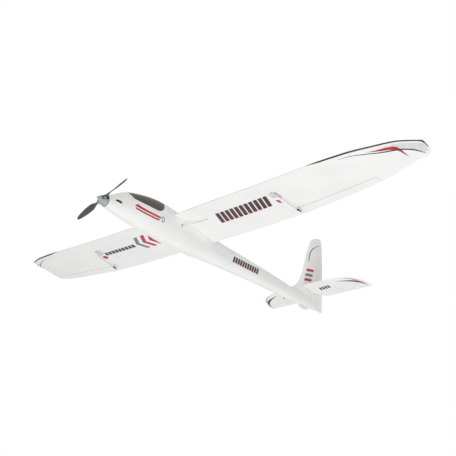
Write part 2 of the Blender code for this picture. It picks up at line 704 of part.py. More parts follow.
def blade_ring(s):
    """A blade section at the distance s from the pin to the tip: thick tang, then a twisted foil."""
    root, full, tip = 5.0, 30.0, BLADE_TIP - PIN_X
    width = smooth_line(((root, 7.0), (10, 7.5), (full, 19.0), (60, 21.0), (90, 15.0), (tip, 6.0)))(s)
    thick = smooth_line(((root, 6.2), (10, 5.6), (full, 3.0), (60, 2.2), (tip, 1.0)))(s)
    pitch = math.radians(smooth_line(((root, 0), (10, 6), (full, 42), (60, 28), (tip, 16)))(s))
    if s <= 10:
        width, thick = thick, width
    ring = []
    for i in range(10):
        turn = 2 * math.pi * i / 10
        chordwise, up = width / 2 * math.cos(turn), thick / 2 * math.sin(turn)
        z = chordwise * math.cos(pitch) - up * math.sin(pitch)
        y = chordwise * math.sin(pitch) + up * math.cos(pitch)
        ring.append((PIN_X + s, HUB_Y + y, z))
    return ring


def make_blades(hub):
    stations = (-5.5, 5, 10, 18, 30, 45, 60, 78, 92, 100, BLADE_TIP - PIN_X)
    for label, side in SIDES:
        turn = Matrix.Rotation(0 if side == PORT else math.pi, 4, "Y")
        centre = Matrix.Translation(place(0, HUB_Y, 0))
        rings = [blade_ring(max(s, 5)) for s in stations]
        rings[0] = [(PIN_X + stations[0], y, z) for _, y, z in rings[0]]
        blade = loft("propeller_blade_" + label, rings, GREY_PLASTIC)
        bore = rod("blade_bore_" + label, (PIN_X, HUB_Y, -9), (PIN_X, HUB_Y, 9), 1.2 + GAP, group=cutters,
                   sides=10)
        pin = rod("blade_pin_" + label, (PIN_X, HUB_Y, -6.4), (PIN_X, HUB_Y, 6.4), 1.2, STEEL, sides=10)
        for piece in (blade, bore, pin):
            piece.data.transform(centre @ turn @ centre.inverted())
        cut(blade, bore)
        set_origin(blade, (PIN_X * side, HUB_Y, 0))
        for piece in (blade, bore, pin):
            on_hub(piece, hub)


def make_yoke(hub):
    """The middle piece that clamps on the shaft and carries the blade pins between its cheeks."""
    yoke = rod("propeller_yoke", (0, HUB_Y - 6, 0), (0, HUB_Y + 6, 0), 6.0, ALUMINIUM, sides=20)
    reach = PIN_X + 3.5
    for name, low in (("upper", 3.7), ("lower", -5.9)):
        cheek = box("yoke_cheek_" + name, (-reach, HUB_Y - 4, low), (reach, HUB_Y + 4, low + 2.2),
                    group=cutters)
        join(yoke, on_hub(cheek, hub))
    for label, side in SIDES:
        hole = rod("yoke_bore_" + label, (PIN_X * side, HUB_Y, -9), (PIN_X * side, HUB_Y, 9), 1.2 + GAP,
                   group=cutters, sides=10)
        cut(yoke, on_hub(hole, hub))
    bore = rod("yoke_shaft_bore", (0, HUB_Y - 9, 0), (0, HUB_Y + 9, 0), 2.0 + GAP, group=cutters, sides=12)
    cut(yoke, on_hub(bore, hub))
    set_origin(yoke, (0, HUB_Y, 0))
    on_hub(yoke, hub)


def make_motor():
    """An outrunner hung behind the nose bulkhead, its bell and shaft turning together."""
    mount = rod("motor_bulkhead", (0, NOSE_Y + 0.5, 0), (0, MOTOR_Y - GAP, 0), 14.2, PLYWOOD, sides=32)
    bore = rod("bulkhead_bore", (0, NOSE_Y - 5, 0), (0, MOTOR_Y + 5, 0), 4.0, group=cutters, sides=16)
    cut(mount, bore)
    turned("motor_stator", ((11.0, MOTOR_Y), (11.0, 46.0), (6.0, 46.0), (6.0, 48.0), (11.2, 48.0),
                            (11.2, 64.0), (2.6, 64.0), (2.6, MOTOR_Y)), COPPER, 20)
    bell = turned("motor_bell", ((13.8, 47.0), (13.8, 68.0), (12.0, 70.0), (2.3, 70.0), (2.3, 67.0),
                                 (12.4, 67.0), (12.4, 47.0)), ALUMINIUM, 24)
    shaft = rod("motor_shaft", (0, 12, 0), (0, 72, 0), 2.0, STEEL, sides=12)
    for piece in (bell, shaft):
        set_origin(piece, (0, HUB_Y, 0))


def make_drive():
    hub = bpy.data.objects.new("propeller_axis", None)
    parts.objects.link(hub)
    hub.location = place(0, HUB_Y, 0)
    hub.rotation_euler = (0, -BLADE_ANGLE, 0)
    bpy.context.view_layer.update()
    make_spinner(hub)
    plate_disc = turned("spinner_back_plate", ((17.2, 34.2), (17.2, 35.8), (2.3, 35.8), (2.3, 34.2)),
                        BLACK_PLASTIC)
    slot = box("plate_slot", (-40, 30, -7.2), (-16.6, 40, 7.2), group=cutters)
    other = box("plate_slot_other", (16.6, 30, -7.2), (40, 40, 7.2), group=cutters)
    cut(plate_disc, on_hub(slot, hub), on_hub(other, hub))
    make_yoke(hub)
    make_blades(hub)
    make_motor()


# ---------------------------------------------------------------- equipment

def make_tray():
    """A light plywood floor that follows the inside of the shells."""
    steps = 12
    stations = [TRAY_FROM + (TRAY_TO - TRAY_FROM) * i / steps for i in range(steps + 1)]
    port = [(min(inner_width(y, TRAY_Z - 1.6) - 0.6, 24), y - TRAY_FROM) for y in stations]
    outline = port + [(-x, y) for x, y in port[::-1]]
    plate("equipment_tray", outline, 1.6, frame_at((0, TRAY_FROM, TRAY_Z - 0.8), (1, 0, 0), (0, 1, 0)),
          PLYWOOD)


def rounded_box(name, low, high, radius, finish):
    block = box(name, low, high, finish)
    edge = block.modifiers.new("rounded_edges", "BEVEL")
    edge.width = radius * MM
    edge.segments = 2
    return block


def make_power():
    floor = TRAY_Z + GAP
    rounded_box("flight_battery", (-17, 132, floor), (17, 236, floor + 24), 3.0, BLUE_FILM)
    strap = box("battery_strap", (-18.9, 175, floor - 0.05), (18.9, 193, floor + 25.6), STRAP_WEAVE)
    cut(strap, box("strap_inside", (-17.4, 170, floor - 5), (17.4, 200, floor + 24.4), group=cutters))
    rounded_box("speed_controller", (-12.5, 86, floor), (12.5, 128, floor + 8), 1.2, BLACK_PLASTIC)
    rounded_box("receiver", (-11, 300, floor), (11, 342, floor + 12), 1.2, WHITE_PLASTIC)


SERVO_LONG, SERVO_THICK, SERVO_TALL = 22.8, 11.8, 22.4
SERVO_SHAFT = 6.0            # output shaft from the end of the case


def make_servo(name, corner, long_axis, shaft_axis):
    """A micro servo: case with mounting lugs, and an output boss at one end of its face.

    The corner is the case's lower middle at the shaft end; long_axis runs towards that end.
    """
    lug, lug_low, lug_high, lug_thick = 4.6, 15.0, 17.2, 11.0
    case = [(-SERVO_LONG, 0), (0, 0), (0, SERVO_TALL), (-SERVO_LONG, SERVO_TALL)]
    ears = [(-SERVO_LONG - lug, lug_low), (lug, lug_low), (lug, lug_high), (-SERVO_LONG - lug, lug_high)]
    base, long_way, up = Vector(corner), Vector(long_axis), Vector(shaft_axis)
    servo = plate(name, case, SERVO_THICK, frame_at(corner, long_axis, shaft_axis), BLUE_FILM)
    lugs = plate(name + "_lugs", ears, lug_thick, frame_at(corner, long_axis, shaft_axis), group=cutters)
    foot = base - long_way * SERVO_SHAFT + up * (SERVO_TALL - 1)
    boss = rod(name + "_boss", foot, foot + up * 4.0, 4.6, group=cutters, sides=16)
    return join(servo, lugs, boss), foot + up * 4.0


def make_arm(name, axle, reach_axis, shaft_axis, length):
    """A tapered servo arm on its hub, with its origin on the output shaft."""
    hub, end = 3.4, 2.2
    outline = arc((0, 0), hub, 100, 260, 8) + arc((length, 0), end, -80, 80, 6)
    centre = Vector(axle) + Vector(shaft_axis) * (GAP + 1.0)
    arm = plate(name, outline, 1.6, frame_at(centre, reach_axis, Vector(shaft_axis).cross(reach_axis)),
                WHITE_PLASTIC)
    tip = centre + Vector(reach_axis) * length
    bore = rod(name + "_bore", tip - Vector(shaft_axis) * 4, tip + Vector(shaft_axis) * 4, ROD_RADIUS + 0.5,
               group=cutters, sides=8)
    return cut(arm, bore), tip


def make_horn(name, foot, down_axis, thin_axis, height, finish=WHITE_PLASTIC):
    """A control horn: a triangular plate with its row of clevis holes near the tip."""
    outline = [(0, -6), (0, 6), *arc((height - 2.2, 0), 2.2, 60, -60, 4)]
    along = Vector(down_axis).cross(Vector(thin_axis))
    horn = plate(name, outline, 1.4, frame_at(foot, down_axis, along), finish)
    tip = Vector(foot) + Vector(down_axis).normalized() * (height - 2.6)
    bore = rod(name + "_bore", tip - Vector(thin_axis) * 4, tip + Vector(thin_axis) * 4, ROD_RADIUS + 0.5,
               group=cutters, sides=8)
    return cut(horn, bore), tip


def make_aileron_linkage(label, side):
    """Servo in its wing pocket, arm, pushrod and horn on one aileron."""
    under = wing_under(417, 356)
    corner = (404.4 * side, 367.4, under + 6.2)
    servo, axle = make_servo("aileron_servo_" + label, corner, (0, 1, 0), (side, 0, 0))
    arm, tip = make_arm("aileron_arm_" + label, axle, (0, 0, -1), (side, 0, 0), 13.0)
    set_origin(arm, axle)
    horn_x, horn_y = 438.2 + 4.0, 459.0
    foot = (horn_x * side, horn_y, min(wing_under(horn_x, horn_y + dy) for dy in (-6, 6)) - GAP)
    horn, horn_tip = make_horn("aileron_horn_" + label, foot, (0, 0, -1), (1, 0, 0), 13.0)
    inner = aileron_hinge(0)
    set_origin(horn, (inner[0] * side, *inner[1:]))
    rod_x = tip.x + 2.0 * side
    start = Vector((rod_x, tip.y, tip.z))
    end = Vector((horn_tip.x - 2.2 * side, horn_tip.y, horn_tip.z))
    pushrod = rod("aileron_pushrod_" + label, start - (end - start).normalized() * 2,
                  end + (end - start).normalized() * 2, ROD_RADIUS, STEEL, sides=8)
    set_origin(pushrod, start)


def make_aileron_lead(label, side):
    """The servo lead: through the wing, out of its slot, across and into the fuselage side."""
    reach = 403.8
    inside = [(x, LEAD_Y, lead_height(x)) for x in (reach, 330, 250, 180, 130)]
    outside = [(112, LEAD_Y, lead_height(112) - 1.5), (98, 363.5, wing_under(98, 363) - 1.0),
               (84, 359, wing_under(84, 359) - 3.2), (66, 350, 28.5), (50, 341, 25.5), (38, 336, 24.2),
               (30, 335, 24), (24, 335, 19.5), (21.5, 334, 7), (18, 332, -4), (11.6, 331, -8)]
    path = smooth_path(inside, 5)[:-1] + smooth_path([inside[-1], *outside], 32)
    tube("aileron_lead_" + label, [(p.x * side, p.y, p.z) for p in path], LEAD_RADIUS, LEAD_PVC)


ELEVATOR_ROUTE = ((-23, 266, 15.2), (-12, 450, 8), (-9, 650, 2), (-8, 820, 0), (-10, 930, 6),
                  (-16, 1010, 16), (-22, 1066, 24))
RUDDER_ROUTE = ((-5, 266, 15.2), (-4, 450, 4), (-3.5, 650, -8), (-4, 850, -12), (-7, 960, -10),
                (-12, 1030, -8), (-15.5, 1081, -6.3))
ROUTES = {"elevator": ELEVATOR_ROUTE, "rudder": RUDDER_ROUTE}
ROUTE_STEPS = 15
SLEEVE_FROM, SLEEVE_TO = 360, 880


def stretch(route, low, high):
    """The part of a pushrod's path that lies between two stations along y."""
    return [point for point in smooth_path(route, ROUTE_STEPS) if low <= point.y <= high]


def make_tail_linkages():
    """Two servos side by side, with pushrods down the boom to the elevator and rudder horns."""
    for control, x in (("elevator", -12.0), ("rudder", 6.0)):
        route = ROUTES[control]
        corner = (x, 272.0, TRAY_Z + GAP)
        servo, axle = make_servo(control + "_servo", corner, (0, 1, 0), (0, 0, 1))
        arm, _ = make_arm(control + "_arm", axle, (-1, 0, 0), (0, 0, 1), 11.0)
        set_origin(arm, axle)
        pushrod = tube(control + "_pushrod", smooth_path(route, ROUTE_STEPS), ROD_RADIUS, STEEL)
        set_origin(pushrod, route[0])
        sleeve = tube(control + "_sleeve", stretch(route, SLEEVE_FROM, SLEEVE_TO), 1.9, WHITE_PLASTIC)
        bore = tube(control + "_sleeve_bore", stretch(route, SLEEVE_FROM - 100, SLEEVE_TO + 100), 1.3,
                    group=cutters)
        cut(sleeve, bore)
    horn, _ = make_horn("elevator_horn", (-24.4, 1067, 30.2), (0, 0, -1), (1, 0, 0), 9.0)
    set_origin(horn, (0, ELEVATOR_HINGE_Y, stab_z(ELEVATOR_HINGE_Y)))
    horn, _ = make_horn("rudder_horn", (-4.2, 1082, -4.0), (-1, 0, 0), (0, 0, 1), 14.0)
    set_origin(horn, (0, rudder_hinge_y(0), 0))


def make_rod_slots():
    """Narrow slots that let the tail pushrods out of the starboard shell."""
    return {"rod_" + control: tube(control + "_rod_slot", stretch(route, SLEEVE_TO - 80, LENGTH), 2.2,
                                   group=cutters)
            for control, route in ROUTES.items()}


def main():
    scene = bpy.context.scene
    for old in list(bpy.data.objects):
        bpy.data.objects.remove(old)
    scene.collection.children.link(parts)
    scene.collection.children.link(cutters)
    tools = make_airframe_cutters()
    tools.update(make_rod_slots())
    make_fuselage(tools)
    make_canopy()
    make_canopy_locks()
    make_tail_skid()
    make_wings()
    make_tailplane()
    make_rudder()
    make_drive()
    make_tray()
    make_power()
    for label, side in SIDES:
        make_aileron_linkage(label, side)
        make_aileron_lead(label, side)
    make_tail_linkages()


main()
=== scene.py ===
"""Looks for the rc glider: fine foam surfaces, film graphics, drive, linkages and studio."""
import json
import math

import bmesh
import bpy
import numpy as np
from mathutils import Matrix, Vector


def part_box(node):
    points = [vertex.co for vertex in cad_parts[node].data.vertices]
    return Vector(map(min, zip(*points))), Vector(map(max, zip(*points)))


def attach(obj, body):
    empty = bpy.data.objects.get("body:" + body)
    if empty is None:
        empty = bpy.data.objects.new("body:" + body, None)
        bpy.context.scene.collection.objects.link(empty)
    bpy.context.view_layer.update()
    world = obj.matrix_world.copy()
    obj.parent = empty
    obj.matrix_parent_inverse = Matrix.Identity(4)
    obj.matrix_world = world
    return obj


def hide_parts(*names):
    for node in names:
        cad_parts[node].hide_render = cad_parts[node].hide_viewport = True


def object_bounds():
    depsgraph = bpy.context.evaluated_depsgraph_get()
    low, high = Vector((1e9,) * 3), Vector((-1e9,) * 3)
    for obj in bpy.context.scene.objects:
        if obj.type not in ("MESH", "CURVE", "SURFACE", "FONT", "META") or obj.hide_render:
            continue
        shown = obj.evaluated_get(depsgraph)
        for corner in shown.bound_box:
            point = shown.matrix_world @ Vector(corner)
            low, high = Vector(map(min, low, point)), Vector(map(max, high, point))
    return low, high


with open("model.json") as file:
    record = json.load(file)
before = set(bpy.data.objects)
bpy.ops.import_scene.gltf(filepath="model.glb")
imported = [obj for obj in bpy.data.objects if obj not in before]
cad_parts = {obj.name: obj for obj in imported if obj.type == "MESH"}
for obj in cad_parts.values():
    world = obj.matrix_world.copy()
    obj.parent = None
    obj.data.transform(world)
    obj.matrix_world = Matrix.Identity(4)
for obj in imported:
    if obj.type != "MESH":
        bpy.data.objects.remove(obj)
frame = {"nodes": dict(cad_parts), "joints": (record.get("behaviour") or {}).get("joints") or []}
CAD_LOW, CAD_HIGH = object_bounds()
NODES = frame["nodes"]

MM = 0.001
NOSE_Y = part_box("spinner")[0].y          # the spinner's tip, y = 0 on the drawing
THRUST_Z = [j for j in frame["joints"] if j["name"] == "propeller_spin"][0]["pos_m"][2]
PORT, STARBOARD = 1, -1
SIDES = (("port", PORT), ("starboard", STARBOARD))
GAP = 0.3                                # clearance between pieces, in millimetres as everything below
SHARP = 32.0                             # edges sharper than this many degrees stay sharp


# ---------------------------------------------------------------- helpers

def place(x, y, z):
    """Drawing millimetres (x to port, y aft of the spinner tip, z above the shaft) to metres."""
    return Vector((x * MM, NOSE_Y + y * MM, THRUST_Z + z * MM))


def smooth_line(knots):
    """A function that runs smoothly through the (t, value) knots without overshooting."""
    t = np.array([knot[0] for knot in knots], dtype=float)
    v = np.array([knot[1] for knot in knots], dtype=float)
    slope = np.diff(v) / np.diff(t)
    tangent = np.zeros(len(v))
    tangent[0], tangent[-1] = slope[0], slope[-1]
    for i in range(1, len(v) - 1):
        before, after = slope[i - 1], slope[i]
        if before * after > 0:
            tangent[i] = 2 * before * after / (before + after)

    def value(at):
        at = min(max(at, t[0]), t[-1])
        i = min(int(np.searchsorted(t, at, side="right")) - 1, len(t) - 2)
        width = t[i + 1] - t[i]
        s = (at - t[i]) / width
        return float((1 + 2 * s) * (1 - s) ** 2 * v[i] + s * (1 - s) ** 2 * width * tangent[i]
                     + s * s * (3 - 2 * s) * v[i + 1] + s * s * (s - 1) * width * tangent[i + 1])

    return value


def spread(*pieces):
    """Stations: spread((start, stop, step), ...) joined without repeats."""
    found = []
    for start, stop, step in pieces:
        count = max(1, round((stop - start) / step))
        found += [start + (stop - start) * i / count for i in range(count)]
    return found + [pieces[-1][1]]


def link(name, data):
    """A new object in the scene, for a mesh, a lamp or the camera."""
    item = bpy.data.objects.new(name, data)
    bpy.context.scene.collection.objects.link(item)
    return item


def shade(mesh, sharp):
    mesh.shade_smooth()
    mesh.set_sharp_from_angle(angle=math.radians(sharp))


def finish_mesh(name, bm, finish=None, sharp=SHARP):
    """The bmesh as an object with one material, smooth below the sharp angle."""
    bmesh.ops.recalc_face_normals(bm, faces=bm.faces)
    mesh = bpy.data.meshes.new(name)
    bm.to_mesh(mesh)
    bm.free()
    shade(mesh, sharp)
    piece = link(name, mesh)
    if finish is not None:
        mesh.materials.append(finish)
    return piece


def loft(name, rings, finish=None, sharp=SHARP):
    """A closed body through rings of equal point counts, capped at both ends."""
    bm = bmesh.new()
    loops = [[bm.verts.new(place(*point)) for point in ring] for ring in rings]
    count = len(loops[0])
    for here, there in zip(loops, loops[1:]):
        for i in range(count):
            j = (i + 1) % count
            bm.faces.new((here[i], here[j], there[j], there[i]))
    bm.faces.new(loops[0])
    bm.faces.new(reversed(loops[-1]))
    return finish_mesh(name, bm, finish, sharp)


def box(name, low, high, finish=None, bevel=0.0, segments=2):
    bm = bmesh.new()
    middle = place(*[(a + b) / 2 for a, b in zip(low, high)])
    size = [abs(b - a) * MM for a, b in zip(low, high)]
    bmesh.ops.create_cube(bm, size=1.0, matrix=Matrix.Translation(middle) @ Matrix.Diagonal((*size, 1.0)))
    if bevel:
        bmesh.ops.bevel(bm, geom=bm.edges[:], offset=bevel * MM, segments=segments, profile=0.5,
                        affect="EDGES")
    return finish_mesh(name, bm, finish)


def rod(name, start, end, radius, finish=None, sides=24, bevel=0.0):
    """A round bar from one drawing point to another, its rims bevelled."""
    a, b = place(*start), place(*end)
    turn = (b - a).to_track_quat("Z", "Y").to_matrix().to_4x4()
    bm = bmesh.new()
    bmesh.ops.create_cone(bm, cap_ends=True, segments=sides, radius1=radius * MM, radius2=radius * MM,
                          depth=(b - a).length, matrix=Matrix.Translation((a + b) / 2) @ turn)
    if bevel:
        rims = [e for e in bm.edges if any(len(f.verts) > 4 for f in e.link_faces)]
        bmesh.ops.bevel(bm, geom=rims, offset=bevel * MM, segments=2, profile=0.5, affect="EDGES")
    return finish_mesh(name, bm, finish)


def carve(piece, cuts=(), unions=(), within=()):
    """Joins, keeps and cuts with exact Booleans, and leaves one clean mesh."""
    for operation, others in (("UNION", unions), ("INTERSECT", within), ("DIFFERENCE", cuts)):
        for other in others:
            step = piece.modifiers.new("step", "BOOLEAN")
            step.operation = operation
            step.solver = "EXACT"
            step.object = other
    bpy.context.view_layer.update()
    depsgraph = bpy.context.evaluated_depsgraph_get()
    mesh = bpy.data.meshes.new_from_object(piece.evaluated_get(depsgraph))
    finishes = list(piece.data.materials)
    piece.modifiers.clear()
    piece.data = mesh
    mesh.materials.clear()
    for finish in finishes:
        mesh.materials.append(finish)
    bm = bmesh.new()
    bm.from_mesh(mesh)
    bmesh.ops.remove_doubles(bm, verts=bm.verts, dist=2e-6)
    bmesh.ops.dissolve_degenerate(bm, edges=bm.edges, dist=1e-6)
    for face in bm.faces:
        face.material_index = 0
    bm.to_mesh(mesh)
    bm.free()
    shade(mesh, SHARP)
    for other in {*cuts, *unions, *within}:
        bpy.data.objects.remove(other)


def stands_for(piece, body, slot, *nodes):
    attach(piece, body)
    if nodes:
        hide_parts(*nodes)


# ---------------------------------------------------------------- surfaces

TOP_LINE = ((38, 19.5), (60, 33), (100, 56), (130, 66.5), (160, 73.5), (200, 80.5), (240, 83.5), (280, 82),
            (320, 77.5), (360, 72), (450, 59.5), (550, 46.5), (700, 36), (850, 23), (930, 15), (1080, 12))
BOTTOM_LINE = ((38, -19.5), (60, -24.5), (100, -29), (150, -34), (200, -38.5), (250, -42), (300, -44.5),
               (400, -44.5), (450, -42), (550, -38), (750, -33.6), (950, -33.6), (1080, -30))
WIDTH_LINE = ((38, 19.5), (60, 25), (100, 31), (150, 35.5), (220, 38), (280, 37), (360, 33), (450, 29.5),
              (560, 26), (700, 22), (900, 16), (1000, 10), (1080, 3.2))
CREASE_LINE = ((38, 0), (100, 3), (270, 8), (560, -10), (900, -14), (1080, -12))
BELLY_LINE = ((38, 2), (240, 4), (300, 9), (400, 9), (500, 4), (1080, 1))
FLARE, FLARE_POWER = 11.0, 2.2           # swelling of the sides under the wing, and how late it sets in
SEAT_X, SEAT_RISE, SEAT_FADE = 40.0, 1.5, 5.0
FLARE_LINE = ((300, 0), (335, 1), (430, 1), (485, 0))
WALL = 5.0
CROWN_POWER, SIDE_POWER, SIDE_LEAN = 2.5, 2.3, 0.06

LEADING_Y = ((0, 301), (250, 290), (450, 290), (600, 297), (720, 312), (800, 341), (850, 383), (885, 430),
             (900, 456))
TRAILING_Y = ((0, 492), (250, 492), (450, 488), (720, 484), (800, 481), (850, 490), (885, 504), (894, 499),
              (900, 474))
LEADING_Z = ((0, 49), (250, 48), (450, 51), (600, 61), (720, 71), (800, 83), (850, 103), (885, 117),
             (900, 124))
TRAILING_Z = ((0, 24), (250, 24), (450, 27), (600, 38), (720, 49), (800, 63), (850, 87), (885, 103),
              (900, 119))
WING_THICKNESS, WING_CAMBER, TRAILING_EDGE = 0.095, 0.03, 1.4
NOSE_SHARE = 0.006                       # share of the chord where a film's lift also points forward
WING_ROOT, WING_TIP, TIP_ROUND = 22.5, 900.0, 10.0
AILERON_IN, AILERON_OUT = 437.0, 733.0
AILERON_HINGE_Y = (450.0, 454.0)
SERVO_SPOT, LEAD_Y = (417, 356), 364.0   # x and y of the aileron servos, and the y of their leads
JOINER_Y, JOINER_Z, JOINER_RADIUS = 335.0, 48.0, 4.0

FIN_LEADING = ((-40, 930), (14, 927), (32, 949), (54, 966), (94, 984), (134, 992), (209, 1010), (238, 1022),
               (254, 1045), (261, 1062))
FIN_TRAILING = ((-40, 1107), (-22, 1106), (45, 1104), (104, 1099), (250, 1082), (261, 1076))
FIN_ROOT, FIN_TOP = -29.0, 261.0
FIN_THICKNESS = ((-40, 11), (60, 11), (FIN_TOP, 6))
RUDDER_HINGE_Y, RUDDER_HINGE_Z, RUDDER_RAKE = 1076.0, -29.0, -0.10
STAB_LEADING = ((0, 986), (100, 988), (150, 994), (194, 1008), (218, 1030), (236, 1062), (244, 1090))
STAB_TRAILING = ((0, 1098), (215, 1098), (238, 1099), (244, 1096))
STAB_Z, STAB_Z_AT, STAB_SLOPE, STAB_THICKNESS, STAB_HALF = 40.0, 1020.0, -0.10, 8.4, 244.0
ELEVATOR_HINGE_Y, ELEVATOR_OUT = 1063.0, 222.0
CANOPY_SIDE = ((97, 62), (103, 46), (118, 34), (140, 29), (270, 29), (276, 34), (281, 90))
CANOPY_TOP = 120.0
CONTROL_REACH = 70.0

top_at, bottom_at, width_at = smooth_line(TOP_LINE), smooth_line(BOTTOM_LINE), smooth_line(WIDTH_LINE)
crease_at, belly_at, flare_at = smooth_line(CREASE_LINE), smooth_line(BELLY_LINE), smooth_line(FLARE_LINE)
wing_lead, wing_trail = smooth_line(LEADING_Y), smooth_line(TRAILING_Y)
wing_lead_z, wing_trail_z = smooth_line(LEADING_Z), smooth_line(TRAILING_Z)
fin_lead, fin_trail = smooth_line(FIN_LEADING), smooth_line(FIN_TRAILING)
fin_thick = smooth_line(FIN_THICKNESS)
stab_lead, stab_trail = smooth_line(STAB_LEADING), smooth_line(STAB_TRAILING)


def foil(s, thickness, camber):
    """Mean line and half thickness of the section at the chord fraction s, in chord units."""
    crest = 0.4
    half = 5 * thickness * (0.2969 * math.sqrt(s) - 0.1260 * s - 0.3516 * s ** 2 + 0.2843 * s ** 3
                            - 0.1036 * s ** 4)
    if s < crest:
        mean = camber / crest ** 2 * (2 * crest * s - s * s)
    else:
        mean = camber / (1 - crest) ** 2 * ((1 - 2 * crest) + 2 * crest * s - s * s)
    return mean, half


def round_end(distance, radius):
    """Thickness share near a rounded end, from 1 down to almost 0 at the end itself."""
    if distance >= radius:
        return 1.0
    return math.sqrt(max(1 - (1 - max(distance, 0) / radius) ** 2, 0.004))


def wing_point(x, v, side=PORT, lift=0.0):
    """A point on the wing skin: s = v * v along the chord, upper side for v > 0, lower for v < 0."""
    s = min(v * v, 1.0)
    up = 1 if v > 0 else -1
    lead, trail = wing_lead(x), wing_trail(x)
    low, high = wing_lead_z(x), wing_trail_z(x)
    plan = trail - lead
    chord = math.hypot(plan, high - low)
    mean, half = foil(s, WING_THICKNESS * plan / chord, WING_CAMBER)
    share = round_end(WING_TIP - x, TIP_ROUND)
    edge = TRAILING_EDGE / 2 * s
    z = low + (high - low) * s + mean * chord + up * (half * chord + edge) * share
    if lift:
        forward = max(0.0, 1 - s / NOSE_SHARE)
        return x * side, lead + plan * s - lift * forward, z + up * lift * (1 - 0.5 * forward)
    return x * side, lead + plan * s, z


def wing_v(x, y, upper):
    """The v of wing_point above or below the spot (x, y)."""
    s = (y - wing_lead(x)) / (wing_trail(x) - wing_lead(x))
    return math.sqrt(min(max(s, 0.0), 1.0)) * (1 if upper else -1)


def wing_height(x, y, upper):
    return wing_point(x, wing_v(x, y, upper) or 1e-6)[2]


def wing_ring(x, side=PORT, points=44, grow=0.0):
    """A ring round the section, from the trailing edge over the top to the nose and back below."""
    ring = []
    for i in range(-points, points + 1):
        v = math.sin(math.pi / 2 * abs(i) / points) * (1 if i < 0 else -1)
        px, py, pz = wing_point(x, v if i else 1e-9, side)
        if grow:
            s = v * v
            py += grow * (2 * s - 1)
            pz += grow * (1 if v > 0 else -1)
        ring.append((px, py, pz))
    return ring


def seat_flare(y, z):
    """How far the fuselage side swells out to carry the wing root."""
    size, low = FLARE * max(flare_at(y), 0.0), crease_at(y)
    if size <= 0 or z <= low:
        return 0.0
    seat = wing_height(SEAT_X, y, False) + SEAT_RISE
    if z <= seat:
        return size * ((z - low) / (seat - low)) ** FLARE_POWER
    return size * max(0.0, 1 - (z - seat) / SEAT_FADE)


def hull_upper(y, u, inset=0.0):
    """The fuselage side above its widest line: u runs from 0 there to 1 at the top."""
    top = top_at(y) - inset
    width, crease = width_at(y) - inset, crease_at(y)
    rise = u * (2 - u)
    lean = SIDE_LEAN * (top - crease) * rise
    wide = width * max(1 - rise ** CROWN_POWER, 0.0) ** (1 / SIDE_POWER) - lean * (1 - rise)
    z = crease + (top - crease) * rise
    flare = 0.0 if inset else seat_flare(y, z)
    return max(wide, 0.0) + flare, z


def hull_lower(y, u, inset=0.0):
    """The fuselage below its widest line: u runs from 0 at the belly to 1 at the widest line."""
    bottom = bottom_at(y) + inset
    width, crease = width_at(y) - inset, crease_at(y)
    flat = min(belly_at(y), width * 0.5)
    turn = math.pi / 2 * u
    return flat + (width - flat) * math.sin(turn), crease + (bottom - crease) * math.cos(turn)


def hull_ring(y, side=PORT, inset=0.0, lower=22, upper=40):
    """One side of the fuselage section, from the belly to the top."""
    ring = [(GAP / 2, bottom_at(y) + inset)]
    ring += [hull_lower(y, i / lower, inset) for i in range(lower)]
    ring += [hull_upper(y, i / upper, inset) for i in range(upper)]
    ring.append((GAP / 2, top_at(y) - inset))
    return [(max(x, GAP / 2) * side, y, z) for x, z in ring]


def fin_point(y, z, side, lift=0.0):
    lead, trail = fin_lead(z), fin_trail(z)
    s = min(max((y - lead) / (trail - lead), 0.0), 1.0)
    _, half = foil(s, fin_thick(z) / (trail - lead), 0.0)
    x = (half * (trail - lead) + TRAILING_EDGE / 2 * s) * round_end(FIN_TOP + 0.5 - z, 7.0) + lift
    return x * side, y, z


def fin_ring(z, points=26):
    lead, trail = fin_lead(z), fin_trail(z)
    ring = []
    for i in range(-points, points + 1):
        s = math.sin(math.pi / 2 * abs(i) / points) ** 2
        y = lead + (trail - lead) * s
        ring.append(fin_point(y, z, 1 if i < 0 else -1) if i else (0.0, lead, z))
    return ring


def stab_z(y):
    return STAB_Z + STAB_SLOPE * (y - STAB_Z_AT)


def stab_point(x, y, upper, lift=0.0):
    lead, trail = stab_lead(abs(x)), stab_trail(abs(x))
    chord = trail - lead
    s = min(max((y - lead) / chord, 0.0), 1.0)
    _, half = foil(s, min(STAB_THICKNESS, 0.10 * chord + 1.0) / chord, 0.0)
    up = 1 if upper else -1
    thick = (half * chord + TRAILING_EDGE / 2 * s) * round_end(STAB_HALF + 0.3 - abs(x), 5.0)
    return x, y, stab_z(y) + up * (thick + lift)


def stab_ring(x, points=22, grow=0.0):
    lead, trail = stab_lead(abs(x)), stab_trail(abs(x))
    ring = []
    for i in range(-points, points + 1):
        s = math.sin(math.pi / 2 * abs(i) / points) ** 2
        y = lead + (trail - lead) * s
        _, _, z = stab_point(x, y, i < 0, grow)
        if i == 0:
            z = stab_z(y)
        ring.append((x, y + grow * (2 * s - 1), z))
    return ring


# ---------------------------------------------------------------- materials

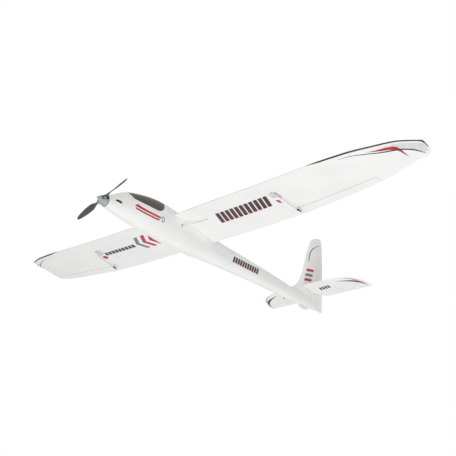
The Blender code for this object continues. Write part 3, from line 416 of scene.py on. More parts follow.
class Graph:
    """A Principled material with object coordinates ready for its textures."""

    def __init__(self, name, roughness=0.5, metallic=0.0, coat=0.0, sheen=0.0, specular=0.5):
        self.finish = bpy.data.materials.new(name)
        self.finish.use_nodes = True
        self.nodes = self.finish.node_tree.nodes
        self.links = self.finish.node_tree.links
        self.shader = self.nodes["Principled BSDF"]
        self.set("Roughness", roughness)
        self.set("Metallic", metallic)
        self.set("Specular IOR Level", specular)
        if coat:
            self.set("Coat Weight", coat)
            self.set("Coat Roughness", 0.12)
        if sheen:
            self.set("Sheen Weight", sheen)
        self.coords = self.nodes.new("ShaderNodeTexCoord").outputs["Object"]
        self.height = None

    def set(self, socket, value):
        self.shader.inputs[socket].default_value = value

    def node(self, kind, output, sockets, **settings):
        """A new node: outputs of other nodes are linked to its sockets, values are set on them."""
        node = self.nodes.new("ShaderNode" + kind)
        for name, value in settings.items():
            setattr(node, name, value)
        for name, value in sockets.items():
            if isinstance(value, bpy.types.NodeSocket):
                self.links.new(value, node.inputs[name])
            else:
                node.inputs[name].default_value = value
        return node.outputs[output]

    def scaled(self, scale):
        return self.node("Mapping", "Vector", {"Scale": scale, "Vector": self.coords})

    def noise(self, scale, detail=3.0, roughness=0.5, vector=None):
        return self.node("TexNoise", "Fac", {"Scale": scale, "Detail": detail, "Roughness": roughness,
                                             "Vector": vector or self.coords})

    def cell_edges(self, scale):
        """Distance from the edges of irregular cells."""
        return self.node("TexVoronoi", "Distance", {"Scale": scale, "Vector": self.coords},
                         feature="DISTANCE_TO_EDGE")

    def wave(self, scale, direction, distortion=0.0, detail_scale=1.0):
        return self.node("TexWave", "Fac", {"Scale": scale, "Distortion": distortion,
                                            "Detail Scale": detail_scale, "Vector": self.coords},
                         bands_direction=direction)

    def remap(self, value, low, high, to_low=0.0, to_high=1.0):
        return self.node("MapRange", "Result", {"From Min": low, "From Max": high, "To Min": to_low,
                                                "To Max": to_high, "Value": value})

    def math(self, operation, a, b):
        return self.node("Math", 0, {0: a, 1: b}, operation=operation)

    def mix(self, factor, first, second):
        ends = [c if isinstance(c, bpy.types.NodeSocket) else (*c, 1.0) for c in (first, second)]
        return self.node("Mix", 2, {"Factor": factor, 6: ends[0], 7: ends[1]}, data_type="RGBA")

    def colour(self, output):
        self.links.new(output, self.shader.inputs["Base Color"])

    def rough(self, value, low, high):
        self.links.new(self.remap(value, 0.0, 1.0, low, high), self.shader.inputs["Roughness"])

    def bump(self, value, strength, distance):
        """Adds relief on top of any relief so far."""
        sockets = {"Strength": strength, "Distance": distance, "Height": value}
        if self.height is not None:
            sockets["Normal"] = self.height
        self.height = self.node("Bump", "Normal", sockets)
        self.links.new(self.height, self.shader.inputs["Normal"])


def bead_height(g):
    """Moulded foam: beads of a few millimetres pressed flat against the mould, with fine seams between."""
    return g.remap(g.cell_edges(300.0), 0.0, 0.10)


def foam(name, light, dark):
    g = Graph(name, roughness=0.58, specular=0.35)
    g.set("Subsurface Weight", 0.08)
    g.set("Subsurface Radius", (0.004, 0.004, 0.0045))
    g.set("Subsurface Scale", 1.0)
    seam = bead_height(g)
    tone = g.mix(g.remap(g.noise(9.0, 4.0, 0.6), 0.35, 0.65), dark, light)
    g.colour(g.mix(g.remap(seam, 0.0, 1.0, 0.86, 1.0), tuple(c * 0.80 for c in dark), tone))
    g.rough(g.noise(60.0, 3.0), 0.50, 0.66)
    g.bump(seam, 0.22, 0.0002)
    g.bump(g.noise(1700.0, 2.0), 0.10, 0.00008)
    return g.finish


def lighter(colour, share, lift):
    return tuple(min(c * share + lift, 1.0) for c in colour)


def film(name, colour, rough=0.32, coat=0.25):
    """Self-adhesive graphics, and the painted shade under the wing tips: thin film that shows the beads below
    it faintly.
    """
    g = Graph(name, roughness=rough, coat=coat)
    g.colour(g.mix(g.remap(g.noise(40.0, 4.0), 0.3, 0.7), colour, lighter(colour, 1.35, 0.004)))
    g.rough(g.noise(220.0, 2.0), rough - 0.06, rough + 0.10)
    g.bump(bead_height(g), 0.10, 0.00012)
    return g.finish


def plastic(name, colour, rough=0.42, grain=900.0, coat=0.0, worn=1.12):
    g = Graph(name, roughness=rough, coat=coat)
    g.colour(g.mix(g.remap(g.noise(120.0, 4.0), 0.3, 0.7), colour, lighter(colour, worn, 0.006)))
    g.rough(g.noise(260.0, 3.0), rough - 0.07, rough + 0.09)
    g.bump(g.noise(grain, 2.0), 0.16, 0.00006)
    return g.finish


def metal(name, colour, rough=0.3, stretch=(60.0, 60.0, 900.0)):
    g = Graph(name, roughness=rough, metallic=1.0)
    lines = g.noise(1.0, 3.0, vector=g.scaled(stretch))
    g.colour(g.mix(lines, tuple(c * 0.82 for c in colour), colour))
    g.rough(lines, rough - 0.10, rough + 0.12)
    g.bump(lines, 0.12, 0.00004)
    return g.finish


def carbon(name):
    g = Graph(name, roughness=0.3, coat=0.6)
    weave = g.math("MULTIPLY", g.wave(260.0, "X"), g.wave(260.0, "Y"))
    g.colour(g.mix(weave, (0.012, 0.012, 0.014), (0.055, 0.056, 0.062)))
    g.bump(weave, 0.2, 0.00005)
    return g.finish


def plywood(name):
    g = Graph(name, roughness=0.68)
    grain = g.wave(26.0, "X", 3.2, 2.0)
    fibre = g.noise(1.0, 4.0, vector=g.scaled((900.0, 40.0, 900.0)))
    tone = g.mix(grain, (0.50, 0.34, 0.18), (0.66, 0.49, 0.29))
    g.colour(g.mix(g.remap(fibre, 0.35, 0.7), tone, (0.58, 0.41, 0.23)))
    g.rough(fibre, 0.55, 0.80)
    g.bump(fibre, 0.25, 0.0001)
    return g.finish


def woven(name, colour):
    g = Graph(name, roughness=0.85, sheen=0.25)
    weave = g.math("MAXIMUM", g.wave(520.0, "X"), g.wave(520.0, "Y"))
    g.colour(g.mix(weave, tuple(c * 0.5 for c in colour), colour))
    g.bump(weave, 0.5, 0.00025)
    return g.finish


def windings(name):
    g = Graph(name, roughness=0.34, metallic=0.75)
    turns = g.wave(420.0, "Y", 0.6)
    g.colour(g.mix(turns, (0.24, 0.085, 0.03), (0.72, 0.34, 0.14)))
    g.bump(turns, 0.7, 0.0003)
    return g.finish


def shrink_film(name, colour):
    """Heat-shrunk wrap with its soft creases."""
    g = Graph(name, roughness=0.24, coat=0.4)
    crease = g.noise(1.0, 3.0, vector=g.scaled((140.0, 36.0, 90.0)))
    g.colour(g.mix(g.remap(crease, 0.3, 0.7), colour, lighter(colour, 1.5, 0.01)))
    g.rough(crease, 0.18, 0.36)
    g.bump(crease, 0.35, 0.0006)
    return g.finish


def glazing(name):
    """The tinted window film on the canopy: dark, glossy and slightly uneven."""
    g = Graph(name, roughness=0.16, coat=0.55)
    g.colour(g.mix(g.remap(g.noise(22.0, 3.0), 0.3, 0.7), (0.030, 0.021, 0.016), (0.062, 0.045, 0.034)))
    g.rough(g.noise(90.0, 3.0), 0.12, 0.26)
    g.bump(bead_height(g), 0.06, 0.00012)
    return g.finish


FOAM = foam("moulded_foam", (0.87, 0.87, 0.868), (0.83, 0.83, 0.83))
BLACK_FILM = film("black_film", (0.014, 0.010, 0.010))
RED_FILM = film("red_film", (0.40, 0.010, 0.020), 0.34)
GREY_FILM = film("grey_film", (0.16, 0.17, 0.19), 0.36)
# a pale grey film under the wing tips: painted shade where the upturned tips curve away from the light
PAINTED_SHADE_FILM = film("painted_tip_shade_film", (0.56, 0.57, 0.575), 0.42, 0.0)
DARK_FILM = film("dark_red_film", (0.085, 0.012, 0.016), 0.34)
GLASS_FILM = glazing("window_film")
GREY_PLASTIC = plastic("grey_nylon", (0.34, 0.345, 0.36), 0.40, 1300.0)
BLADE_PLASTIC = plastic("blade_nylon", (0.060, 0.061, 0.066), 0.38, 1500.0)
BLACK_PLASTIC = plastic("black_nylon", (0.018, 0.018, 0.019), 0.46)
WHITE_PLASTIC = plastic("white_nylon", (0.80, 0.80, 0.795), 0.40, worn=1.05)
PALE_SERVO = plastic("pale_servo_case", (0.62, 0.625, 0.64), 0.34, 500.0, worn=1.06)
SERVO_PLASTIC = plastic("servo_case", (0.022, 0.075, 0.27), 0.28, 500.0, coat=0.3)
BATTERY_FILM = shrink_film("battery_wrap", (0.035, 0.095, 0.30))
ESC_FILM = shrink_film("controller_wrap", (0.020, 0.020, 0.022))
RED_COVER = plastic("red_lead", (0.50, 0.02, 0.02), 0.45)
BLACK_COVER = plastic("black_lead", (0.02, 0.02, 0.02), 0.45)
BROWN_COVER = plastic("brown_lead", (0.10, 0.045, 0.02), 0.45)
YELLOW_COVER = plastic("yellow_lead", (0.70, 0.42, 0.03), 0.45)
LEAD_COVER = plastic("beige_lead", (0.66, 0.60, 0.48), 0.50)
CONNECTOR = plastic("yellow_connector", (0.60, 0.38, 0.03), 0.40)
STEEL = metal("steel_wire", (0.62, 0.62, 0.63), 0.28)
ALUMINIUM = metal("turned_aluminium", (0.74, 0.75, 0.77), 0.30, (900.0, 60.0, 900.0))
BRASS = metal("brass_fittings", (0.62, 0.46, 0.20), 0.32)
CARBON = carbon("carbon_tube")
WOOD = plywood("plywood")
STRAP = woven("strap_weave", (0.035, 0.035, 0.042))
COPPER = windings("copper_winding")


# ---------------------------------------------------------------- studio

def make_camera():
    data = bpy.data.cameras.new("camera")
    data.lens, data.sensor_width = 84.35, 36.0
    data.clip_start, data.clip_end = 0.05, 200.0
    camera = link("camera", data)
    right = Vector((0.7200, 0.6882, 0.0887))
    back = Vector((0.6557, -0.6329, -0.4116)).normalized()
    right = (right - back * right.dot(back)).normalized()
    turn = Matrix((right, back.cross(right), back)).transposed().to_4x4()
    camera.matrix_world = Matrix.Translation((2.451, -2.340, -1.3755)) @ turn
    bpy.context.scene.camera = camera


def area_light(name, spot, target, size, power):
    data = bpy.data.lights.new(name, "AREA")
    data.shape, data.size, data.energy = "DISK", size, power
    lamp = link(name, data)
    lamp.location = spot
    lamp.rotation_euler = (Vector(target) - Vector(spot)).to_track_quat("-Z", "Y").to_euler()
    lamp.visible_camera = False


def make_studio():
    scene = bpy.context.scene
    scene.view_settings.view_transform = "Standard"
    scene.view_settings.look = "None"
    world = bpy.data.worlds.new("studio")
    scene.world = world
    world.use_nodes = True
    nodes, links = world.node_tree.nodes, world.node_tree.links
    nodes.clear()
    lit, seen = nodes.new("ShaderNodeBackground"), nodes.new("ShaderNodeBackground")
    pick, path, out = (nodes.new("ShaderNodeMixShader"), nodes.new("ShaderNodeLightPath"),
                       nodes.new("ShaderNodeOutputWorld"))
    lit.inputs["Color"].default_value = (1.0, 1.0, 0.995, 1.0)
    lit.inputs["Strength"].default_value = 0.69
    seen.inputs["Color"].default_value = (1.0, 1.0, 1.0, 1.0)
    seen.inputs["Strength"].default_value = 1.0
    links.new(path.outputs["Is Camera Ray"], pick.inputs[0])
    links.new(lit.outputs[0], pick.inputs[1])
    links.new(seen.outputs[0], pick.inputs[2])
    links.new(pick.outputs[0], out.inputs["Surface"])
    middle = (CAD_LOW + CAD_HIGH) / 2
    area_light("key", (2.2, -3.0, 3.2), middle, 2.6, 24)
    area_light("low_fill", (1.6, -1.2, -3.4), middle, 3.2, 74)
    area_light("rim", (-2.8, 2.6, 2.4), middle, 2.4, 10)
    bm = bmesh.new()
    bmesh.ops.create_grid(bm, x_segments=4, y_segments=4, size=40.0, matrix=Matrix.Translation((0, 0, -7.0)))
    g = Graph("studio_floor", roughness=0.9)
    g.colour(g.mix(g.noise(0.6, 3.0), (0.88, 0.88, 0.88), (0.92, 0.92, 0.92)))
    floor = finish_mesh("studio_floor", bm, g.finish)


# ---------------------------------------------------------------- cutters

def prism_along_x(name, outline, x_from, x_to, shift=(0.0, 0.0)):
    """A prism of a (y, z) outline, its far end shifted in y and z."""
    near = [(x_from, y, z) for y, z in outline]
    far = [(x_to, y + shift[0], z + shift[1]) for y, z in outline]
    return loft(name, (near, far))


def prism_along_z(name, outline, z_from, z_to, rake=0.0):
    """A prism of an (x, y) outline that leans by the rake in y for each step up."""
    low = [(x, y, z_from) for x, y in outline]
    high = [(x, y + rake * (z_to - z_from), z_to) for x, y in outline]
    return loft(name, (low, high))


def canopy_outline(gap):
    """The canopy's outline from the side, grown by the gap and open far above."""
    line = []
    for i, (y, z) in enumerate(CANOPY_SIDE):
        along = -gap if i < 3 else gap if i >= 5 else 0
        line.append((y + along, z - gap))
    return line + [(CANOPY_SIDE[-1][0] + gap, CANOPY_TOP), (CANOPY_SIDE[0][0] - gap, CANOPY_TOP)]


def rudder_hinge_y(z):
    return RUDDER_HINGE_Y + RUDDER_RAKE * (z - RUDDER_HINGE_Z)


def aileron_hinge(end):
    x, y = (AILERON_IN, AILERON_OUT)[end], AILERON_HINGE_Y[end]
    return x, y, wing_height(x, y, True)


def smooth_path(route, count):
    """Points along a Catmull-Rom line through the route."""
    knots = [Vector(point) for point in route]
    knots = [2 * knots[0] - knots[1], *knots, 2 * knots[-1] - knots[-2]]
    spans = len(route) - 1
    path = []
    for step in range(count + 1):
        along = min(step * spans / count, spans - 1e-9)
        i = int(along)
        s = along - i
        a, b, c, d = knots[i:i + 4]
        path.append(0.5 * (2 * b + (c - a) * s + (2 * a - 5 * b + 4 * c - d) * s * s
                           + (3 * b - a - 3 * c + d) * s ** 3))
    return path


def tube(name, points, radius, finish=None, sides=12):
    """A round wire swept along drawing points, its rings carried without twisting, capped at both ends."""
    knots = [Vector(p) for p in points]
    normal = None
    rings = []
    for i, knot in enumerate(knots):
        ahead = knots[min(i + 1, len(knots) - 1)] - knots[max(i - 1, 0)]
        ahead.normalize()
        if normal is None:
            normal = ahead.orthogonal().normalized()
        normal = (normal - ahead * normal.dot(ahead)).normalized()
        other = ahead.cross(normal)
        rings.append([knot + (normal * math.cos(a) + other * math.sin(a)) * radius
                      for a in (2 * math.pi * k / sides for k in range(sides))])
    return loft(name, rings, finish, sharp=50.0)


ELEVATOR_ROUTE = ((-23, 266, 15.2), (-12, 450, 8), (-9, 650, 2), (-8, 820, 0), (-10, 930, 6),
                  (-16, 1010, 16), (-22, 1066, 24))
RUDDER_ROUTE = ((-5, 266, 15.2), (-4, 450, 4), (-3.5, 650, -8), (-4, 850, -12), (-7, 960, -10),
                (-12, 1030, -8), (-15.5, 1081, -6.3))


# ---------------------------------------------------------------- foam pieces

FILLET_TOP = 38.0            # the boom swells into the fin up to this height


def fin_fillet(y, z):
    """Half width of the smooth web that joins the boom's sides to the fin."""
    rise = min(max(z, 0.0) / FILLET_TOP, 1.0)
    return 0.92 * width_at(y) * (1 - rise) ** 1.6


def half_fin(name, side):
    """One side of the fin, split down its middle and widened to the boom at its root."""
    rings = []
    for z in spread((-6, 44, 2.5), (44, 250, 5), (250, FIN_TOP, 0.9)):
        whole = fin_ring(z)
        middle = len(whole) // 2
        skin = whole[:middle + 1] if side == PORT else whole[middle:]
        lead = whole[middle][1]
        ring = []
        for x, y, _ in skin:
            nose = math.sqrt(min(1.0, max(0.0, (y - lead) / 80.0)))
            ring.append((max(abs(x), fin_fillet(y, z) * nose, GAP / 2) * side, y, z))
        rings.append([(GAP / 2 * side, ring[0][1], z), *ring[1:-1], (GAP / 2 * side, ring[-1][1], z)])
    return loft(name, rings)


def make_fuselage():
    stations = spread((38, 140, 3), (140, 300, 5), (300, 500, 4), (500, 1080, 7))
    cavity_stations = (30, 45, 62, 90, 125, 160, 200, 240, 275, 300, 350, 400, 470, 560, 700, 850, 950, 1010)
    for label, side in SIDES:
        shell = loft("fuselage_half_" + label, [hull_ring(y, side) for y in stations], FOAM)
        cavity = []
        for y in cavity_stations:
            ring = hull_ring(y, side, WALL, 8, 14)
            cavity.append([(p[0] if abs(p[0]) > 1 else -2 * side, p[1], p[2]) for p in ring])
        low = FIN_ROOT - 20
        behind = rudder_hinge_y(low)
        reach = 2 * CONTROL_REACH
        hinge_z = stab_z(ELEVATOR_HINGE_Y)
        cuts = [
            loft("cavity", cavity),
            prism_along_x("canopy_space", canopy_outline(0.5), -80, 80),
            prism_along_z("rudder_space", [(-40, behind), (40, behind), (40, behind + reach),
                                           (-40, behind + reach)], low, 271, RUDDER_RAKE),
            prism_along_x("tailplane_slot", [(p[1], p[2]) for p in stab_ring(0, grow=0.9)], -40, 40),
            box("joiner_slot", (-30, 1050, hinge_z - 4.2), (30, 1100, hinge_z + 4.2)),
            loft("wing_seat", [wing_ring(x, side, 30, 0.4) for x in (18.0, 100)]),
            rod("lead_hole", (15 * side, 335, 24), (60 * side, 335, 24), 3.8, sides=28),
            loft("inlet", [inlet_ring(x * side) for x in (12, 60)]),
        ]
        if side == STARBOARD:
            for route in (ELEVATOR_ROUTE, RUDDER_ROUTE):
                path = [p for p in smooth_path(route, 60) if p.y > 860]
                cuts.append(tube("rod_slot", path + [path[-1] + (path[-1] - path[-2]) * 6], 2.2, sides=14))
        carve(shell, cuts, [half_fin("fin", side)])
        stands_for(shell, "airframe", "white_foam", "fuselage_shell_" + label)


def inlet_ring(x):
    """The cooling inlet: a slanted slot with rounded corners."""
    corners = [(58, 3), (79, 0.5), (82.5, 5), (80, 10.5), (62, 10.5)]
    path = smooth_path([(0, y, z) for y, z in corners + corners[:1]], 40)[:-1]
    return [(x, p.y, p.z) for p in path]


def whole_section(y, *options):
    """The fuselage section of both sides in one ring."""
    ring = [*hull_ring(y, PORT, *options), *hull_ring(y, STARBOARD, *options)[::-1]]
    return [p for p in ring if abs(p[0]) > GAP]


def make_canopy():
    canopy = loft("canopy_cover", [whole_section(y) for y in spread((88, 140, 3), (140, 292, 4))], FOAM)
    inside = (30, 62, 90, 108, 125, 145, 160, 180, 200, 225, 240, 275, 300)
    hollow = loft("canopy_hollow", [whole_section(y, WALL, 8, 14) for y in inside])
    carve(canopy, [hollow], within=[prism_along_x("region", canopy_outline(0.0), -70, 70)])
    stands_for(canopy, "canopy", "white_foam", "canopy")


def lead_height(x):
    """The aileron lead's tunnel runs straight through the wing."""
    near, far = wing_height(100, LEAD_Y, False), wing_height(410, LEAD_Y, False)
    return near + (far - near) * (x - 100) / 310 + 6.0


def aileron_prism(name, side, aft, bevel, trim):
    """The space behind the aileron's hinge line, with a bevelled front."""
    inner, outer = aileron_hinge(0), aileron_hinge(1)
    slope = (outer[2] - inner[2]) / (outer[0] - inner[0])
    sweep = (outer[1] - inner[1]) / (outer[0] - inner[0])
    x_from, x_to = inner[0] + trim, outer[0] - trim
    y, z = inner[1] + sweep * trim, inner[2] + slope * trim
    drop = 30.0
    outline = [(y + aft, z + drop), (y + aft, z), (y + aft + drop * math.tan(bevel), z - drop),
               (y + CONTROL_REACH, z - drop), (y + CONTROL_REACH, z + drop)]
    shift = (sweep * (x_to - x_from), slope * (x_to - x_from))
    return prism_along_x(name, outline, x_from * side, x_to * side, shift)


def make_wings():
    for label, side in SIDES:
        stations = spread((WING_ROOT, 780, 8), (780, 872, 4), (872, 888, 2), (888, WING_TIP, 0.8))
        panel = loft("wing_" + label, [wing_ring(x, side) for x in stations], FOAM)
        under = wing_height(*SERVO_SPOT, False)
        cuts = [
            rod("joiner_bore", (10 * side, JOINER_Y, JOINER_Z), (333 * side, JOINER_Y, JOINER_Z),
                JOINER_RADIUS + GAP),
            aileron_prism("aileron_space", side, 0.0, 0.0, 0.0),
            box("servo_pocket", (404 * side, 343.5, under - 8), (428.6 * side, 368.5, under + 13)),
            box("arm_slot", (427 * side, 346, under - 8), (434.5 * side, 379, under + 13)),
            box("lug_slot", (418.6 * side, 339, under - 8), (422.4 * side, 373.2, under + 13)),
            rod("lead_tunnel", (100 * side, LEAD_Y, lead_height(100)), (410 * side, LEAD_Y, lead_height(410)),
                1.8, sides=12),
            box("lead_outlet", (88 * side, LEAD_Y - 1.8, 20),
                (124 * side, LEAD_Y + 1.8, lead_height(100) + 1)),
        ]
        carve(panel, cuts)
        stands_for(panel, "airframe", "white_foam", "wing_panel_" + label)
        rings = [wing_ring(x, side) for x in spread((428, 742, 8))]
        aileron = loft("aileron_surface_" + label, rings, FOAM)
        carve(aileron, within=[aileron_prism("region", side, GAP, math.radians(15), 1.0)])
        stands_for(aileron, "aileron_" + label, "white_foam", "aileron_" + label)


def elevator_outline(front, bevel):
    """The space behind the elevator's hinge line, seen from the side."""
    y, z = ELEVATOR_HINGE_Y, stab_z(ELEVATOR_HINGE_Y)
    high = 12.0
    return [(y + front, z), (y + front + high * math.tan(bevel), z + high), (y + CONTROL_REACH, z + high),
            (y + CONTROL_REACH, z - high), (y + front + high * math.tan(bevel), z - high)]


def make_tail():
    half = spread((0, 220, 8), (220, 238, 2), (238, STAB_HALF, 0.7))
    stations = [-x for x in half[:0:-1]] + half
    rings = [stab_ring(x) for x in stations]
    reach = ELEVATOR_OUT + 1
    stab = loft("tailplane_surface", rings, FOAM)
    carve(stab, [prism_along_x("elevator_space", elevator_outline(0.0, 0.0), -reach, reach)])
    stands_for(stab, "airframe", "white_foam", "tailplane")
    y = ELEVATOR_HINGE_Y
    joiner_y, joiner_z = y + 3.6, stab_z(y + 3.6)
    for label, side in SIDES:
        piece = loft("elevator_surface_" + label, rings, FOAM)
        clear = prism_along_z("rudder_swing", [(-9, y - 20), (9, y - 20), (9, y), (34, y + 36), (-34, y + 36),
                                               (-9, y)], -20, 100)
        bore = rod("bore", (5 * side, joiner_y, joiner_z), (44 * side, joiner_y, joiner_z), 1.5, sides=12)
        region = prism_along_x("region", elevator_outline(GAP, math.radians(25)), 2 * side,
                               ELEVATOR_OUT * side)
        carve(piece, [clear, bore], within=[region])
        stands_for(piece, "elevator", "white_foam", "elevator_" + label)
    levels = spread((FIN_ROOT, 250, 6), (250, FIN_TOP, 0.9))
    rudder = loft("rudder_surface", [fin_ring(z) for z in levels], FOAM)
    low, wide = FIN_ROOT - 20, 12.0
    front = rudder_hinge_y(low) + GAP
    back = front + wide * math.tan(math.radians(30))
    outline = [(0, front), (wide, back), (wide, front + 105), (-wide, front + 105), (-wide, back)]
    carve(rudder, within=[prism_along_z("region", outline, low, 271, RUDDER_RAKE)])
    stands_for(rudder, "rudder", "white_foam", "rudder")


make_camera()
make_studio()
make_fuselage()
make_canopy()
make_wings()
make_tail()

# ---------------------------------------------------------------- film graphics, with painted shade under the wing tips

# a film's underside lies just in the foam, its face above it, and a film on another film higher still
FILM_BELOW, FILM_ABOVE, FILM_OVER, FILM_SHARP = -0.05, 0.14, 0.24, 40.0


def hull_across(y, b, lift):
    """The fuselage above its widest line: b runs from -1 at starboard over 0 at the top to 1 at port."""
    x, z = hull_upper(y, 1 - abs(b), -lift)
    return (x if b >= 0 else -x), y, z


def hull_side(side):
    """The fuselage side as a surface of y and z."""
    def surface(y, z, lift):
        top, crease, bottom = top_at(y), crease_at(y), bottom_at(y)
        if z >= crease:
            x, high = hull_upper(y, 1 - math.sqrt(max((top - z) / (top - crease), 0.0)), -lift)
        else:
            turn = math.acos(max(-1.0, (z - crease) / (bottom - crease)))
            x, high = hull_lower(y, turn * 2 / math.pi, -lift)
        return x * side, y, high
    return surface


def wing_skin(side, upper):
    """One side of a wing as a surface of x (outward) and y."""
    return lambda x, y, lift: wing_point(x, wing_v(x, y, upper), side, lift)


def wing_nose(side):
    """The skin round the leading edge as a surface of x (outward) and v."""
    return lambda x, v, lift: wing_point(x, v or 1e-6, side, lift)


def stab_skin(side, upper):
    """One side of the tailplane as a surface of x (outward) and y."""
    return lambda x, y, lift: stab_point(x * side, y, upper, lift)


def fin_skin(side):
    """One side of the fin and rudder as a surface of y and z."""
    return lambda y, z, lift: fin_point(y, z, side, lift)


def stroke(points, widths, count=24):
    """The outline of a smooth line with the given widths at its ends and middle."""
    path = smooth_path([(a, b, 0) for a, b in points], count)
    width_of = smooth_line([(i / (len(widths) - 1), w) for i, w in enumerate(widths)])
    left, right = [], []
    for i, point in enumerate(path):
        ahead = (path[min(i + 1, count)] - path[max(i - 1, 0)]).normalized()
        across = Vector((-ahead.y, ahead.x, 0)) * width_of(i / count) / 2
        left.append(tuple((point + across)[:2]))
        right.append(tuple((point - across)[:2]))
    return left + right[::-1]


def ring_outline(centre, radii, width, count=28):
    """A ring as two half rings that share their ends."""
    halves = []
    for half in (0, math.pi):
        turns = [half + math.pi * i / count for i in range(count + 1)]
        outer = [(centre[0] + radii[0] * math.cos(a), centre[1] + radii[1] * math.sin(a)) for a in turns]
        inner = [(centre[0] + (radii[0] - width) * math.cos(a), centre[1] + (radii[1] - width) * math.sin(a))
                 for a in turns]
        halves.append(outer + inner[::-1])
    return halves


def disc_outline(centre, radius, count=20):
    return [(centre[0] + radius * math.cos(2 * math.pi * i / count),
             centre[1] + radius * math.sin(2 * math.pi * i / count)) for i in range(count)]


def slanted(origin, along, up, spans):
    """Slanted bars: (start, stop, low, high) shares along a line and up its slant."""
    bars = []
    for start, stop, low, high in spans:
        bars.append([(origin[0] + along[0] * t + up[0] * h, origin[1] + along[1] * t + up[1] * h)
                     for t, h in ((start, low), (stop, low), (stop, high), (start, high))])
    return bars


def film_piece(name, body, finish, layers, top=FILM_ABOVE):
    """Closed films laid on curved skins: layers of (surface, grid steps, outlines) make one piece."""
    solid = bmesh.new()
    for surface, steps, outlines in layers:
        flat = bmesh.new()
        for outline in outlines:
            flat.faces.new([flat.verts.new((a, b, 0.0)) for a, b in outline])
        bmesh.ops.remove_doubles(flat, verts=flat.verts, dist=1e-5)
        bmesh.ops.triangulate(flat, faces=flat.faces, ngon_method="EAR_CLIP")
        for axis, step in enumerate(steps):
            spots = [v.co[axis] for v in flat.verts]
            lines = range(math.ceil(min(spots) / step + 1e-3), math.floor(max(spots) / step - 1e-3) + 1)
            for line in lines:
                spot, way = Vector((0, 0, 0)), Vector((0, 0, 0))
                spot[axis], way[axis] = line * step, 1.0
                everything = flat.verts[:] + flat.edges[:] + flat.faces[:]
                bmesh.ops.bisect_plane(flat, geom=everything, plane_co=spot, plane_no=way, dist=step * 1e-4)
        flat.normal_update()
        high = {v: solid.verts.new(place(*surface(v.co.x, v.co.y, top))) for v in flat.verts}
        low = {v: solid.verts.new(place(*surface(v.co.x, v.co.y, FILM_BELOW))) for v in flat.verts}
        for face in flat.faces:
            corners = list(face.verts) if face.normal.z > 0 else list(face.verts)[::-1]
            solid.faces.new([high[v] for v in corners])
            solid.faces.new([low[v] for v in reversed(corners)])
        for edge in flat.edges:
            if len(edge.link_faces) == 1:
                a, b = edge.verts
                solid.faces.new((high[a], high[b], low[b], low[a]))
        flat.free()
    stands_for(finish_mesh(name, solid, finish, FILM_SHARP), body, "white_foam")


def on_both_sides(skin, steps, outlines):
    """The same outlines on the port and on the starboard skin."""
    return [(skin(side), steps, outlines) for _, side in SIDES]


def shifted(spans, along, up):
    return [(a + along, b + along, low + up, high + up) for a, b, low, high in spans]


def even_bars(count, share):
    """A run of even bars, as shares of its length and height."""
    return [(k / count, (k + share) / count, 0, 1) for k in range(count)]


BLOCK = even_bars(11, 0.66)


def window_outline():
    """The canopy's window across both sides, from its port lower edge."""
    side = ((107, 57), (110, 52), (118, 44), (129, 37.6), (150, 35.6), (180, 34.6), (210, 33.4), (226, 33.6),
            (237, 37), (246, 44), (252, 53), (256, 64), (257.5, 75))
    edge = [(y, math.sqrt(max((top_at(y) - z) / (top_at(y) - crease_at(y)), 0.0))) for y, z in side]
    port = smooth_path([(y, b, 0) for y, b in [(105.5, 0.0), *edge, (258, 0.0)]], 72)
    line = [(p.x, max(p.y, 0.0)) for p in port]
    return line + [(y, -b) for y, b in line[::-1] if b > 1e-4]


def make_fuselage_graphics():
    film_piece("canopy_window", "canopy", GLASS_FILM, [(hull_across, (4, 0.03), [window_outline()])])
    swoosh = [(128.5, 13), (138.5, 22.6), (160, 18.6), (186, 16.4), (214, 15.6), (240, 15.4), (236, 8.8),
              (212, 8.2), (186, 8.6), (160, 10.0), (140, 12.6)]
    under = [(131.5, 9.5), (160, 6.0), (188, 4.6), (214, 4.4), (234.5, 5.4), (231, -0.6), (210, -1.0),
             (186, -0.6), (160, 0.6), (134, 3.6)]
    film_piece("nose_stripes", "airframe", RED_FILM, on_both_sides(hull_side, (4, 2), [swoosh, under]))
    ring = ring_outline((248.5, 10.5), (7.0, 10.5), 3.2)
    film_piece("nose_rings", "airframe", GREY_FILM, on_both_sides(hull_side, (4, 2), ring))
    run = (592, -9.5), (135, 0), (8, 23)
    black, shade = slanted(*run, BLOCK), slanted(*run, shifted(BLOCK, 0.012, -0.05))
    film_piece("boom_bars_shade", "airframe", RED_FILM, on_both_sides(hull_side, (6, 2), shade))
    film_piece("boom_bars", "airframe", BLACK_FILM, on_both_sides(hull_side, (6, 2), black), FILM_OVER)


# outlines on the wing tips, (x outward, y)
TIP_RED = [(777, 348.5), (792, 355), (808, 363.5), (824, 375), (838, 389.5), (844.5, 403), (846, 418),
           (846.5, 440), (846.5, 463), (843.2, 440), (840.5, 421), (836, 405), (824, 388), (808, 371.5),
           (792, 359)]
# the pale grey patch under each tip: painted shade, standing in for the shading of the upturned tip
PAINTED_TIP_SHADE = [(806, 374), (824, 391), (845, 414.5), (866, 445), (877.5, 471), (884, 490), (892, 489),
             (894.5, 476), (894, 463), (889, 449), (880, 433), (868, 415), (852, 395), (838, 381),
             (822, 368.5), (812, 364)]


